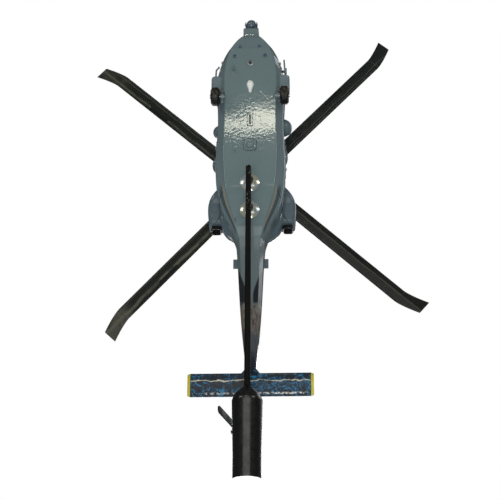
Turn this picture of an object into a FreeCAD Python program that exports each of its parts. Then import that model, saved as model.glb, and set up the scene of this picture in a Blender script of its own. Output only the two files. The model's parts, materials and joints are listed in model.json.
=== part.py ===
"""Desk model of a twin-engined naval utility helicopter on its support arm, 1:40.

Two sets of axes are used. The model's own origin is the centre of the support tube's rear end, with +X
forward along the tube, +Y to port and +Z up. The helicopter's stations are measured from its rotor hub,
and datum_x and datum_z carry them to the model's origin.
"""
import FreeCAD, Part
import math
import os
import Sketcher
from FreeCAD import Placement, Rotation, Vector

DOC = FreeCAD.newDocument("HelicopterModel")
SHEET = DOC.addObject("Spreadsheet::Sheet", "Dims")
X, Y, Z = Vector(1, 0, 0), Vector(0, 1, 0), Vector(0, 0, 1)
SIDES = (("left", 1), ("right", -1))

DIMENSIONS = {
    # where the rotor hub stands, from the support tube's rear end
    "datum_x": 314.5, "datum_z": 101.0,
    # fuselage
    "cabin_half": 31.0, "belly_half": 24.0, "belly_z": -79.0, "knee_z": -70.0, "shoulder_z": -44.0,
    "roof_z": -36.0, "roof_half": 20.0, "nose_x": 120.0, "joint_x": -96.0, "wall": 1.6, "skin": 0.35,
    # tail
    "boom_half": 12.6, "boom_top_z": -34.0, "boom_end_x": -226.0, "fin_half": 2.9, "fin_top_z": 8.0,
    "stab_x": -221.5, "stab_z": -49.2, "stab_half_span": 53.6, "stab_chord": 20.8, "stab_thick": 2.8,
    "stab_cap": 2.4,
    # main rotor
    "mast_rad": 2.0, "mast_foot_z": -32.0, "hub_rad": 7.5, "hub_thick": 5.0, "run_gap": 0.05,
    "blade_root": 22.0, "blade_bend": 180.0, "blade_tip": 204.5, "blade_front": 4.0, "blade_back": 9.7,
    "blade_thick": 1.7, "tip_sweep": 6.6, "coning": 1.3, "rotor_turn": -2.2, "arm_width": 8.0,
    # tail rotor
    "tail_hub_x": -246.0, "tail_hub_y": -14.0, "tail_hub_z": 4.0, "tail_rad": 41.5, "tail_chord": 7.0,
    "tail_thick": 1.2, "tail_cant": 20.0, "tail_toe": 8.0, "tail_phase": -75.0, "tail_shaft_rad": 1.2,
    # wheels and legs
    "main_x": 42.5, "main_y": 31.6, "main_z": -85.5, "tyre_rad": 8.5, "tyre_width": 8.0, "rim_rad": 4.8,
    "axle_rad": 1.2, "leg_y": 25.3, "leg_rad": 1.5,
    "tailwheel_x": -166.0, "tailwheel_z": -88.0, "tailtyre_rad": 5.0, "tailtyre_width": 3.2,
    # sensor turret on the nose
    "turret_x": 138.0, "turret_z": -62.4, "ball_rad": 4.7, "turret_mount_half": 7.3,
    # support arm
    "tube_rad": 11.3, "tube_front_rad": 12.4, "grip_len": 20.0, "tube_len": 66.0, "neck_len": 9.0,
    "rod_rear_rad": 2.65, "rod_front_rad": 2.4, "rod_front_x": -38.2,
    "washer_rad": 8.6, "washer_rise": 2.4, "washer_dome_rad": 16.6, "prong_rad": 1.7,
    "prong_collar_rad": 3.2, "front_prong_x": -43.5, "rear_prong_x": -70.5,
}


class Size:
    """A length from the sheet, kept as a number and as the expression that binds it."""

    def __init__(self, number, text):
        self.number, self.text = number, text

    @staticmethod
    def of(value):
        return value if isinstance(value, Size) else Size(float(value), "(%s)" % repr(float(value)))

    def _join(self, other, sign, number):
        return Size(number, "(%s %s %s)" % (self.text, sign, other.text))

    def __add__(self, other):
        other = Size.of(other)
        return self._join(other, "+", self.number + other.number)

    def __sub__(self, other):
        other = Size.of(other)
        return self._join(other, "-", self.number - other.number)

    def __mul__(self, other):
        other = Size.of(other)
        return self._join(other, "*", self.number * other.number)

    def __neg__(self):
        return self * -1.0

    __radd__ = __add__
    __rmul__ = __mul__

    def __rsub__(self, other):
        return Size.of(other) - self

    def __float__(self):
        return self.number


def fill_sheet():
    """Write every driving dimension to the sheet with its alias."""
    for row, (alias, value) in enumerate(DIMENSIONS.items(), start=1):
        SHEET.set("A%d" % row, alias)
        SHEET.set("B%d" % row, repr(value))
        SHEET.setAlias("B%d" % row, alias)
    DOC.recompute()


def dim(alias):
    return Size(float(SHEET.get(alias)), "Dims.%s" % alias)


def num(alias):
    return dim(alias).number


def bind(obj, prop, size):
    obj.setExpression(prop, Size.of(size).text)


def place(obj, x, y, z, turn=None):
    """Stand an object at a helicopter station, with its base bound to the sheet."""
    spot = (Size.of(x) + dim("datum_x"), Size.of(y), Size.of(z) + dim("datum_z"))
    obj.Placement = Placement(Vector(*[float(s) for s in spot]), turn or Rotation())
    for letter, size in zip("xyz", spot):
        bind(obj, "Placement.Base." + letter, size)
    return obj


# ---------------------------------------------------------------- makers of simple pieces

def box(name, low, high):
    obj = DOC.addObject("Part::Box", name)
    low, high = [Size.of(v) for v in low], [Size.of(v) for v in high]
    for prop, a, b in zip(("Length", "Width", "Height"), low, high):
        bind(obj, prop, b - a)
    return place(obj, *low)


def cylinder(name, radius, length, start, aim=Z):
    """A round bar from a start point, along aim."""
    obj = DOC.addObject("Part::Cylinder", name)
    bind(obj, "Radius", radius)
    bind(obj, "Height", length)
    return place(obj, *start, Rotation(Z, aim))


def ball(name, radius, centre):
    obj = DOC.addObject("Part::Sphere", name)
    bind(obj, "Radius", radius)
    return place(obj, *centre)


def bar(name, radius, start, end):
    """A round bar between two stations."""
    run = Vector(*[float(b) - float(a) for a, b in zip(start, end)])
    return cylinder(name, radius, run.Length, start, run)


def cut(name, base, tool):
    obj = DOC.addObject("Part::Cut", name)
    obj.Base, obj.Tool = base, tool
    return obj


def common(name, base, tool):
    obj = DOC.addObject("Part::Common", name)
    obj.Base, obj.Tool = base, tool
    return obj


def fuse(name, pieces):
    obj = DOC.addObject("Part::MultiFuse", name)
    obj.Shapes = pieces
    obj.Refine = True
    return obj


def group(name, pieces):
    """Separate solids that share one node."""
    obj = DOC.addObject("Part::Compound", name)
    obj.Links = pieces
    return obj


def cut_all(name, base, tools):
    for i, tool in enumerate(tools):
        base = cut(name if tool is tools[-1] else "%s_trim%d" % (name, i), base, tool)
    return base


def rounded(name, base, radius, pick):
    """Fillet the edges that pick chooses."""
    DOC.recompute()
    obj = DOC.addObject("Part::Fillet", name)
    obj.Base = base
    obj.Edges = [(i, radius, radius) for i, e in enumerate(base.Shape.Edges, start=1) if pick(e)]
    return obj


def feature(name, shape):
    """A freely shaped piece, built in helicopter stations and then stood on the datum."""
    obj = DOC.addObject("Part::Feature", name)
    obj.Shape = shape
    return place(obj, 0, 0, 0)


# ---------------------------------------------------------------- PartDesign pieces

def outline_sketch(body, role, points):
    """A closed outline on one of the body's origin planes, each corner held by bound distances."""
    plane = [f for f in body.Origin.OriginFeatures if f.Role == role][0]
    sketch = body.newObject("Sketcher::SketchObject", body.Name + "_outline")
    sketch.AttachmentSupport = [(plane, "")]
    sketch.MapMode = "FlatFace"
    points = [(Size.of(a), Size.of(b)) for a, b in points]
    spots = [Vector(float(a), float(b), 0) for a, b in points]
    count = len(spots)
    for i in range(count):
        sketch.addGeometry(Part.LineSegment(spots[i], spots[(i + 1) % count]), False)
    for i in range(count):
        sketch.addConstraint(Sketcher.Constraint("Coincident", i, 2, (i + 1) % count, 1))
    for i, pair in enumerate(points):
        for kind, axis, size in zip(("DistanceX", "DistanceY"), (-2, -1), pair):
            if float(size) == 0.0:
                sketch.addConstraint(Sketcher.Constraint("PointOnObject", i, 1, axis))
                continue
            held = sketch.addConstraint(Sketcher.Constraint(kind, -1, 1, i, 1, float(size)))
            sketch.setExpression("Constraints[%d]" % held, size.text)
    return sketch


def turned(name, points, spot, aim=Z, rounds=()):
    """A lathe-turned piece: (radius, height) corners turned about the piece's own Z axis, then aimed.

    aim is a direction or a rotation. rounds holds (radius of fillet, radius of edge, height of edge) for
    the edges to be rounded.
    """
    body = DOC.addObject("PartDesign::Body", name)
    sketch = outline_sketch(body, "XZ_Plane", points)
    turn = body.newObject("PartDesign::Revolution", name + "_turning")
    turn.Profile = sketch
    turn.ReferenceAxis = (sketch, ["V_Axis"])
    turn.Angle = 360.0
    DOC.recompute()
    for i, (fillet, edge_rad, edge_z) in enumerate(rounds):
        base = body.Tip
        names = ["Edge%d" % n for n, e in enumerate(base.Shape.Edges, start=1)
                 if hasattr(e.Curve, "Radius") and abs(e.Curve.Radius - float(edge_rad)) < 1e-4
                 and abs(e.Curve.Center.z - float(edge_z)) < 1e-4]
        soft = body.newObject("PartDesign::Fillet", "%s_round%d" % (name, i))
        soft.Base = (base, names)
        bind(soft, "Radius", fillet)
        DOC.recompute()
    return place(body, *spot, aim if isinstance(aim, Rotation) else Rotation(Z, aim))


def plate(name, role, points, thick, spot, turn=None, corner=0.0):
    """A flat plate: an outline padded to its thickness, with its upright corners rounded."""
    body = DOC.addObject("PartDesign::Body", name)
    sketch = outline_sketch(body, role, points)
    pad = body.newObject("PartDesign::Pad", name + "_pad")
    pad.Profile = sketch
    bind(pad, "Length", thick)
    DOC.recompute()
    if corner:
        normal = {"XY_Plane": Z, "XZ_Plane": Y, "YZ_Plane": X}[role]
        names = ["Edge%d" % n for n, e in enumerate(pad.Shape.Edges, start=1)
                 if abs(abs(e.tangentAt(e.FirstParameter).dot(normal)) - 1) < 1e-6]
        soft = body.newObject("PartDesign::Fillet", name + "_corners")
        soft.Base = (pad, names)
        bind(soft, "Radius", corner)
        DOC.recompute()
    return place(body, *spot, turn)


# ---------------------------------------------------------------- lofted skins

def rounded_wire(corners, radii, to_space):
    """A closed wire through flat corners with an arc at each; to_space maps the flat point to a station."""
    count = len(corners)
    starts, mids, ends = [], [], []
    for i, (a, b) in enumerate(corners):
        here = Vector(a, b, 0)
        before = Vector(*corners[i - 1], 0) - here
        after = Vector(*corners[(i + 1) % count], 0) - here
        half = before.getAngle(after) / 2.0
        reach = min(radii[i] / math.tan(half), 0.42 * min(before.Length, after.Length))
        radius = reach * math.tan(half)
        middle = (before.normalize() + after.normalize()).normalize()
        starts.append(here + before * reach)
        ends.append(here + after * reach)
        mids.append(here + middle * (radius / math.sin(half) - radius))
    edges = []
    for i in range(count):
        edges.append(Part.Arc(to_space(starts[i]), to_space(mids[i]), to_space(ends[i])).toShape())
        edges.append(Part.LineSegment(to_space(ends[i]), to_space(starts[(i + 1) % count])).toShape())
    return Part.Wire(edges)


def hull_section(x, belly, knee, roof, belly_z, knee_z, shoulder_z, roof_z, inset):
    """One frame of the fuselage: flat belly, sloped chine, upright side, sloped shoulder, flat roof."""
    half = [(belly - 0.6 * inset, belly_z + inset), (knee - inset, knee_z + 0.3 * inset),
            (knee - inset, shoulder_z), (roof - 0.6 * inset, roof_z - inset)]
    corners = half + [(-a, b) for a, b in reversed(half)]
    tight = knee / num("cabin_half")
    radii = [r * tight for r in (1.6, 3.0, 5.0, 5.5)]
    return rounded_wire(corners, radii + radii[::-1], lambda p: Vector(x, p.x, p.y))


def fuselage_solid(inset, front, rear):
    """The nose and cabin. Each row is a station and the hull's half widths and heights there."""
    side, belly, roof = num("cabin_half"), num("belly_half"), num("roof_half")
    low, knee, shoulder, top = num("belly_z"), num("knee_z"), num("shoulder_z"), num("roof_z")
    nose, joint, boom = num("nose_x"), num("joint_x"), num("boom_half")
    rows = [
        (nose, 4.0, 5.6, 4.2, low + 8.6, low + 14.0, shoulder - 14.0, shoulder - 10.4),
        (nose - 1.2, 6.4, 8.6, 6.6, low + 7.0, low + 13.0, shoulder - 12.4, shoulder - 8.2),
        (nose - 3.8, 8.6, 11.4, 8.8, low + 4.9, low + 11.8, shoulder - 10.6, shoulder - 6.8),
        (nose - 8.2, 11.8, 15.2, 11.6, low + 3.0, low + 10.7, shoulder - 8.6, shoulder - 5.8),
        (nose - 15.8, 16.3, 20.8, 15.6, low + 1.3, low + 9.8, shoulder - 7.4, shoulder - 5.2),
        (nose - 24.8, 20.2, 25.0, 18.6, low + 0.4, low + 9.2, shoulder - 5.6, shoulder - 3.6),
        (nose - 35.8, 22.8, 28.6, 20.0, low, knee, shoulder - 1.2, top - 2.2),
        (nose - 46.8, belly, side, roof, low, knee, shoulder, top),
        (nose - 73.8, belly, side, roof, low, knee, shoulder, top),
        (-10.0, belly, side, roof, low, knee, shoulder, top),
        (-34.0, belly - 1.2, side - 0.2, roof, low, knee, shoulder, top),
        (-52.0, belly - 3.2, side - 2.2, roof - 3.0, low, knee, shoulder, top),
        (-66.0, belly - 6.4, side - 6.2, roof - 5.5, low + 0.1, knee + 0.6, shoulder, top + 0.4),
        (-81.0, belly - 10.6, side - 13.0, roof - 9.0, low + 0.9, knee + 2.2, shoulder, top + 1.2),
        (joint, belly - 14.6, boom, 8.0, low + 3.6, knee + 4.0, shoulder, num("boom_top_z")),
    ]
    kept = [row for row in rows if rear <= row[0] <= front]
    return Part.makeLoft([hull_section(*row, inset) for row in kept], True, False)


def boom_solid(inset):
    """The tail boom, tapering and rising to the tail plane."""
    joint, end, top = num("joint_x"), num("boom_end_x"), num("boom_top_z")
    half, low = num("boom_half"), num("belly_z")
    rows = [
        (joint, num("belly_half") - 14.6, half, 8.0, low + 3.6, num("knee_z") + 4.0, num("shoulder_z"),
         top),
        (joint - 26.0, 8.0, half - 1.8, 7.0, low + 9.8, low + 18.0, top - 9.0, top),
        (joint - 56.0, 6.6, half - 3.35, 6.1, low + 17.0, low + 24.0, top - 8.0, top),
        (joint - 86.0, 4.8, half - 5.7, 4.6, low + 24.2, low + 29.5, top - 7.0, top),
        (joint - 110.0, 3.2, half - 8.15, 3.3, low + 30.5, low + 34.0, top - 6.0, top),
        (end, 2.2, half - 9.6, 2.4, low + 34.4, low + 36.6, top - 5.4, top - 1.0),
    ]
    return Part.makeLoft([hull_section(*row, inset) for row in rows], True, False)


def pod_loft(rows, radius):
    """A rounded box section swept through stations: (x, inner y, outer y, low z, high z)."""
    wires = []
    for x, inner, outer, low, high in rows:
        corners = [(inner, low), (outer, low), (outer, high), (inner, high)]
        if outer < inner:
            corners.reverse()
        wires.append(rounded_wire(corners, [radius] * 4, lambda p, x=x: Vector(x, p.x, p.y)))
    return Part.makeLoft(wires, True, False)


def on_side(rows, sign):
    """Port rows (x, inner y, outer y, ...), or the same rows mirrored to starboard."""
    return [(x, sign * inner, sign * outer, *rest) for x, inner, outer, *rest in rows]


def wing_wire(front, back, thick, lift, to_space, camber=0.0):
    """A wing section from its leading edge to its trailing edge: one crown, one underside."""
    chord = front - back
    tail = 0.06 * thick
    crown = [(0.0, 0.0), (0.03, 0.30), (0.12, 0.46), (0.32, 0.5), (0.62, 0.36), (1.0, 0.06)]
    upper, lower = [], []
    for along, high in crown:
        bow = camber * thick * 4.0 * along * (1.0 - along)
        upper.append(to_space(front - chord * along, lift + bow + thick * high))
        lower.append(to_space(front - chord * along, lift + bow - thick * high))
    top, under = Part.BSplineCurve(), Part.BSplineCurve()
    top.interpolate(upper)
    under.interpolate(lower[::-1])
    back_edge = Part.LineSegment(upper[-1], lower[-1])
    return Part.Wire([top.toShape(), back_edge.toShape(), under.toShape()])


# ---------------------------------------------------------------- the sub-parts

def build_fuselage():
    """Port and starboard half shells, with the prongs' holes through the belly."""
    outer = feature("hull_outer", fuselage_solid(0.0, num("nose_x"), num("joint_x")))
    hollow = feature("hull_hollow", fuselage_solid(num("wall"), num("nose_x") - 7.0, num("joint_x")))
    shell = cut("hull_shell", outer, hollow)
    holes = [cylinder("hull_hole%d" % i, dim("prong_rad"), 6, (dim(x), 0, dim("belly_z") - 2))
             for i, x in enumerate(("front_prong_x", "rear_prong_x"))]
    lamp_hole = cylinder("hull_lamp_hole", 2.0, 2.6, (82.5, 0, dim("belly_z") - 1))
    shell = cut_all("hull_drilled", shell, holes + [lamp_hole])
    for side, sign in SIDES:
        edge = sorted((0, sign * 40))
        half = box("hull_%s_space" % side, (-110, edge[0], -90), (130, edge[1], 0))
        common("fuselage_" + side, shell, half)
    return outer, shell


def build_glazing(hull, door_windows):
    """Windscreens and cockpit side windows, thin skins on the hull, and the doors' windows."""
    skin = feature("glass_skin", fuselage_solid(-num("skin"), num("nose_x"), num("joint_x")))
    skin = cut("glass_sheet", skin, hull)
    screens, panes = [], []
    for side, sign in SIDES:
        edge = sorted((sign * 1.0, sign * 17.6))
        window = box("screen_space_" + side, (72.5, edge[0], -60), (93.5, edge[1], -30))
        screens.append(common("screen_" + side, skin, window))
        edge = sorted((sign * 24.0, sign * 34.0))
        for i, (rear, front, low) in enumerate(((60.0, 74.5, -61.0), (76.0, 90.0, -60.0))):
            space = box("pane_space_%s%d" % (side, i), (rear, edge[0], low), (front, edge[1], -45.6))
            panes.append(common("pane_%s%d" % (side, i), skin, space))
    group("windscreens", screens)
    group("side_windows", panes + door_windows)


def build_doors(hull):
    """Sliding cabin doors, each a plate with a sunk window."""
    proud, sunk, glass = 0.6, 0.3, 0.2
    doors, windows = [], []
    for side, sign in SIDES:
        turn = Rotation() if sign > 0 else Rotation(Z, 180)
        face = (dim("cabin_half") + proud) * sign
        spot = (-8.0, face, 0)
        corners = [(-15.0, -66.5), (15.0, -66.5), (15.0, -45.0), (-15.0, -45.0)]
        blank = plate("door_blank_" + side, "XZ_Plane", corners, proud + 1.0, spot, turn, 2.0)
        frame = [(-9.0, -57.5), (9.0, -57.5), (9.0, -47.5), (-9.0, -47.5)]
        opening = plate("door_opening_" + side, "XZ_Plane", frame, sunk, spot, turn, 1.6)
        doors.append(cut_all("cabin_door_" + side, blank, [hull, opening]))
        pane_spot = (-8.0, face - (sunk - glass) * sign, 0)
        windows.append(plate("door_window_" + side, "XZ_Plane", frame, glass, pane_spot, turn, 1.6))
    return doors, windows


def build_cowlings(hull):
    """The raised rotor fairing, and an engine cowling each side of it."""
    top, roof = -16.0, num("roof_z")
    ridge = num("boom_top_z")
    profile = [(52.0, 10.0, roof + 0.8), (46.0, 10.8, roof + 4.6), (38.0, 11.6, roof + 11.2),
               (30.0, 12.0, top - 3.4), (22.0, 12.2, top - 0.6), (12.0, 12.2, top), (0.0, 12.2, top),
               (-14.0, 12.0, top), (-24.0, 11.4, top - 0.6), (-40.0, 9.8, top - 4.0),
               (-60.0, 7.8, top - 9.8), (-80.0, 6.0, ridge + 2.6),
               (num("joint_x") + 2.0, 4.2, ridge - 2.0)]
    rows = [(x, -half, half, roof - 2, crest) for x, half, crest in profile]
    fairing = feature("cowl_fairing", pod_loft(rows, 3.6))
    socket = cylinder("cowl_socket", 4.0, 20, (0, 0, -33.0))
    cowling = cut_all("rotor_cowling", fairing, [hull, socket])
    cowls = []
    for side, sign in SIDES:
        rows = [(22.0, 11.0, 25.0, roof - 1, -20.5), (12.0, 9.0, 28.0, -39, -18.0),
                (-22.0, 9.0, 30.5, -42, -17.5), (-48.0, 7.5, 30.5, -44, -20.0),
                (-66.0, 6.0, 28.0, -45, -25.0), (-84.0, 4.5, 13.6, -44, -32.4)]
        body = feature("engine_body_" + side, pod_loft(on_side(rows, sign), 4.2))
        intake = cylinder("engine_intake_" + side, 4.6, 7, (15.5, sign * 18.0, -27.8), X)
        cowls.append(cut_all("engine_cowl_" + side, body, [hull, cowling, intake]))
    return cowling, cowls


def build_exhausts(hull, cowls):
    """The swollen exhaust fairings outboard of the cowlings, each with a dark duct in its rear face."""
    ducts = []
    for (side, sign), cowl in zip(SIDES, cowls):
        rows = [(-20.0, 20.5, 28.6, -40.5, -25), (-28.0, 20.5, 31.0, -42.8, -22),
                (-35.0, 20.5, 36.4, -43.2, -19.6), (-42.0, 20.5, 39.6, -42, -18.6),
                (-52.0, 21.5, 40.4, -40.5, -19), (-64.5, 24.5, 39.4, -39, -20)]
        lobe = feature("exhaust_lobe_" + side, pod_loft(on_side(rows, sign), 4.4))
        rows = [(-48.0, 28.6, 36.6, -35, -23), (-68.0, 28.6, 37.4, -35.6, -23)]
        plug = feature("duct_plug_" + side, pod_loft(on_side(rows, sign), 2.6))
        cut_all("exhaust_fairing_" + side, lobe, [hull, cowl, plug])
        rows = [(-49.0, 29.4, 35.8, -34.2, -23.8), (-69.0, 29.4, 36.6, -34.8, -23.8)]
        bore = feature("duct_bore_" + side, pod_loft(on_side(rows, sign), 2.0))
        ducts.append(cut_all("exhaust_duct_piece_" + side, plug, [bore, cowl]))
    group("exhaust_ducts", ducts)


def build_tail(hull):
    """The boom, the swept fin and the small tabs on the boom's sides."""
    outer = feature("boom_outer", boom_solid(0.0))
    hollow = feature("boom_hollow", boom_solid(num("wall") * 0.8))
    rear_space = box("boom_end_space", (dim("boom_end_x") - 1, -6, -60), (dim("boom_end_x") + 18, 6, -20))
    hollow = cut("boom_core", hollow, rear_space)
    cut("tail_boom", outer, hollow)
    sections = [(-40.0, -176.0, -229.5, 1.0), (-14.0, -208.0, -246.5, 0.94),
                (num("fin_top_z"), -238.0, -262.0, 0.8)]
    wires = [wing_wire(lead, back, 2 * num("fin_half") * slim, 0, lambda a, b, z=z: Vector(a, b, z))
             for z, lead, back, slim in sections]
    fin = feature("fin_blank", Part.makeLoft(wires, True, False))
    fin = cut("fin_trimmed", fin, outer)
    fin = cut("tail_pylon", fin, place_cylinder("fin_seat", 3.4, 13.0, tail_spot(-13.0), tail_turn()))
    tabs = []
    for side, sign in SIDES:
        inner = dim("boom_half") * sign - 4.0 * sign
        ends = sorted((inner, Size.of(15.6) * sign), key=float)
        tab = box("tab_%s_blank" % side, (-115.0, ends[0], -52.6), (-106.4, ends[1], -51.2))
        tabs.append(cut("tab_" + side, tab, outer))
    group("boom_tabs", tabs)
    return outer, fin


def tail_turn():
    """The tail rotor's tilt: its axis points to starboard, leans up by the cant and aft by the toe."""
    return Rotation(Z, -num("tail_toe")) * Rotation(X, 90.0 - num("tail_cant"))


def tail_spot(out):
    """A station on the tail rotor's axis, this far outboard of its hub."""
    aim = tail_turn().multVec(Z)
    names = ("tail_hub_x", "tail_hub_y", "tail_hub_z")
    return [dim(name) + out * part for name, part in zip(names, (aim.x, aim.y, aim.z))]


def place_cylinder(name, radius, length, spot, turn):
    """A round bar turned with the tail rotor's axis."""
    obj = DOC.addObject("Part::Cylinder", name)
    bind(obj, "Radius", radius)
    bind(obj, "Height", length)
    return place(obj, *spot, turn)


def build_stabilator(boom):
    """A slab tail plane under the boom, with a coloured cap on each tip and two root fillets."""
    span, cap, chord = dim("stab_half_span"), dim("stab_cap"), num("stab_chord")
    front = num("stab_x") + 0.5 * chord
    back = front - chord

    def slab(name, low_y, high_y, shrink):
        wires = []
        for y, pull in ((low_y, 0.0), (high_y, shrink)):
            wires.append(wing_wire(front - pull, back + pull, num("stab_thick") * (1 - 0.3 * pull),
                                   num("stab_z"), lambda a, b, y=y: Vector(a, y, b)))
        return feature(name, Part.makeLoft(wires, True, True))

    inner = float(span - cap)
    centre = slab("stab_panel", -inner, inner, 0.0)
    roots = []
    for side, sign in SIDES:
        corners = [(211.0, sign * 1.5), (205.5, sign * 3.4), (211.5, sign * 8.2), (222.0, sign * 7.2),
                   (222.0, sign * 1.5)]
        corners = [(-a, b) for a, b in corners]
        roots.append(plate("stab_root_" + side, "XY_Plane", corners, 2.9, (0, 0, dim("stab_z"))))
    block = box("stab_block", (dim("stab_x") - 6, -2.4, dim("stab_z")), (dim("stab_x") + 8, 2.4, -45.5))
    whole = fuse("stab_whole", [centre, block] + roots)
    cut("stabilator", whole, boom)
    caps = [slab("stab_cap_" + side, sign * inner, sign * float(span), 1.0) for side, sign in SIDES]
    group("stabilator_tips", caps)


def build_nose(hull):
    """The sensor turret: a fixed mount on the nose, a yoke that pans and a ball that tilts."""
    tx, half = num("turret_x"), dim("turret_mount_half")
    block = box("mount_block", (114, -half, -68.5), (131.5, half, -51))
    block = rounded("mount_block_soft", block, 3.0, lambda e: e.BoundBox.XMin > 131.4 + num("datum_x"))
    shelf = box("mount_shelf", (120, -5.4, -56.2), (dim("turret_x"), 5.4, -51))
    nose = cylinder("mount_round", 5.4, 5.2, (dim("turret_x"), 0, -56.2))
    crown = rounded("mount_round_soft", nose, 2.4, lambda e: e.BoundBox.ZMin > -51.1 + num("datum_z"))
    room = cylinder("mount_room", dim("ball_rad") + 2.1, 14, (dim("turret_x"), 0, -70.2))
    bore = cylinder("mount_bore", 1.3 + num("run_gap"), 4.2, (dim("turret_x"), 0, -57))
    whole = fuse("mount_whole", [block, shelf, crown])
    cut_all("turret_mount", whole, [hull, room, bore])
    stem = cylinder("yoke_stem", 1.3, 3.2, (tx, 0, -56.5))
    arms = []
    for side, sign in SIDES:
        edge = sorted((sign * 4.85, sign * 5.75))
        low, high = (tx - 1.8, edge[0], dim("turret_z") - 2.0), (tx + 1.8, edge[1], -56.5)
        arms.append(box("yoke_arm_" + side, low, high))
    disc = cylinder("yoke_disc", 5.9, 0.9, (tx, 0, -57.35))
    yoke = fuse("yoke_whole", [disc, stem] + arms)
    trunnion_hole = cylinder("yoke_hole", 0.8 + num("run_gap"), 14, (tx, -7, dim("turret_z")), Y)
    cut("turret_yoke", yoke, trunnion_hole)
    sphere = ball("ball_blank", dim("ball_rad"), (tx, 0, dim("turret_z")))
    flat = box("ball_flat", (tx + 4.1, -3, dim("turret_z") - 3), (tx + 6, 3, dim("turret_z") + 3))
    trunnion = cylinder("ball_trunnion", 0.8, 11.2, (tx, -5.6, dim("turret_z")), Y)
    window = cylinder("ball_window_hole", 2.0, 1.2, (tx + 3.5, 0, dim("turret_z")), X)
    cut_all("turret_ball", fuse("ball_pinned", [sphere, trunnion]), [flat, window])


def build_belly(hull, shell):
    """Lamp, covers, hatch, slot frame, antennas and small bumps under the fuselage."""
    low = dim("belly_z")
    lamp = turned("lamp_blank", [(0, 0), (1.9, 0), (1.9, -0.7), (2.9, -0.7), (2.9, -1.7), (1.5, -1.9),
                                 (1.2, -0.9), (0, -0.9)], (82.5, 0, low + 1.0))
    cut("landing_lamp", lamp, shell)
    # a drop-shaped cover, blunt end forward
    drop, drop_x = [], 58.0
    half = [(6.0, 0.0), (3.8, 2.7), (0.6, 3.25), (-3.4, 2.0), (-7.4, 0.25)]
    points = half + [(a, -b) for a, b in reversed(half[1:])]
    for level, size in ((0.0, 1.0), (-1.0, 0.86), (-1.7, 0.5)):
        height = num("belly_z") + level
        curve = Part.BSplineCurve()
        curve.interpolate([Vector(drop_x + a * size, b * size, height) for a, b in points], PeriodicFlag=True)
        drop.append(Part.Wire([curve.toShape()]))
    cut("belly_dome", feature("dome_blank", Part.makeLoft(drop, True, False)), hull)
    frame = box("slot_outer", (15.0, -2.3, low - 0.5), (28.0, 2.3, low + 0.3))
    frame = rounded("slot_soft", frame, 0.8, lambda e: abs(e.tangentAt(0).z) > 0.9)
    cut_all("slot_frame", frame, [hull, box("slot_space", (16.2, -1.2, low - 1), (26.8, 1.2, low + 1))])
    pad = box("hatch_pad", (-10.5, -5.4, low - 0.5), (0.5, 5.4, low + 0.3))
    pad = rounded("hatch_soft", pad, 2.2, lambda e: abs(e.tangentAt(0).z) > 0.9)
    boss = turned("hatch_boss", [(0, 0), (4.0, 0), (3.2, -0.9), (0, -0.9)], (-5.0, 0, low - 0.5))
    fuse("belly_hatch", [cut("hatch_seated", pad, hull), boss])
    blade = [(-3.6, 0), (3.6, 0), (0.2, -4.9), (-3.0, -4.9)]
    antenna = plate("blade_antenna", "XZ_Plane", blade, 0.8, (76.5, -15.2, low + 0.3))
    bumps = [cut("blade_antenna_seated", antenna, hull)]
    spots = [(102.0, 8.4, 1.4), (101.6, -9.8, 1.4), (91.0, 13.8, 1.7), (90.6, -14.6, 1.7), (44.0, 6.0, 0.8),
             (-11.6, -14.0, 1.5), (-80.0, -13.0, 1.2)]
    for i, (x, y, radius) in enumerate(spots):
        knob = ball("bump_blank%d" % i, radius, (x, y, low + (1.5 if x > 100 else 0.7 if x > 90 else 0.3)))
        bumps.append(cut("bump%d" % i, knob, hull))
    group("belly_antennas", bumps)


def build_side_fittings(hull, doors, fairings):
    """Probes ahead of the gear fairings, and the pods on the cabin's flanks."""
    probes, front_pods, aft_pods = [], [], []
    probe_z = -68.5
    left_root, left_tip = (72.0, 32.4, probe_z), (92.0, 31.4, probe_z)
    left = [bar("probe_left_bar", 0.8, left_root, left_tip), ball("probe_left_end", 0.8, left_tip),
            box("probe_left_block", (77.0, 31.4, -69.8), (82.6, 33.8, -67.2))]
    right_root, knee, right_tip = (72.0, -33.0, probe_z), (82.5, -32.6, probe_z), (85.5, -30.2, probe_z)
    right = [bar("probe_right_bar", 0.75, right_root, knee), bar("probe_right_bend", 0.75, knee, right_tip),
             ball("probe_right_knee", 0.75, knee), ball("probe_right_end", 1.0, right_tip)]
    for (side, sign), pieces, fairing in zip(SIDES, (left, right), fairings):
        probes.append(cut_all("probe_" + side, fuse("probe_whole_" + side, pieces), [hull, fairing]))
    for side, sign, x, radius, reach in (("left", 1, 25.0, 8.6, 38.0), ("right", -1, 22.0, 6.4, 35.4)):
        dome = ball("pod_front_blank_" + side, radius, (x, sign * (reach - radius), -56.0))
        front_pods.append(cut("pod_front_" + side, dome, hull))
    shapes = [("left", 1, [(10.0, 32.0, 1.6), (3.0, 33.6, 3.4), (-5.0, 32.2, 2.4)]),
              ("right", -1, [(6.0, 32.0, 1.6), (0.0, 35.7, 4.0), (-8.0, 36.3, 3.6), (-14.5, 31.8, 0.8)])]
    for side, sign, rows in shapes:
        table = [(x, sign * 29.0, sign * out, -42.5 - 0.4 * tall, -42.5 + tall) for x, out, tall in rows]
        blank = feature("pod_aft_blank_" + side, pod_loft(table, 1.6))
        aft_pods.append(cut_all("pod_aft_" + side, blank, [hull] + doors))
    group("front_pods", front_pods)
    group("aft_pods", aft_pods)
    group("nose_probes", probes)


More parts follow.
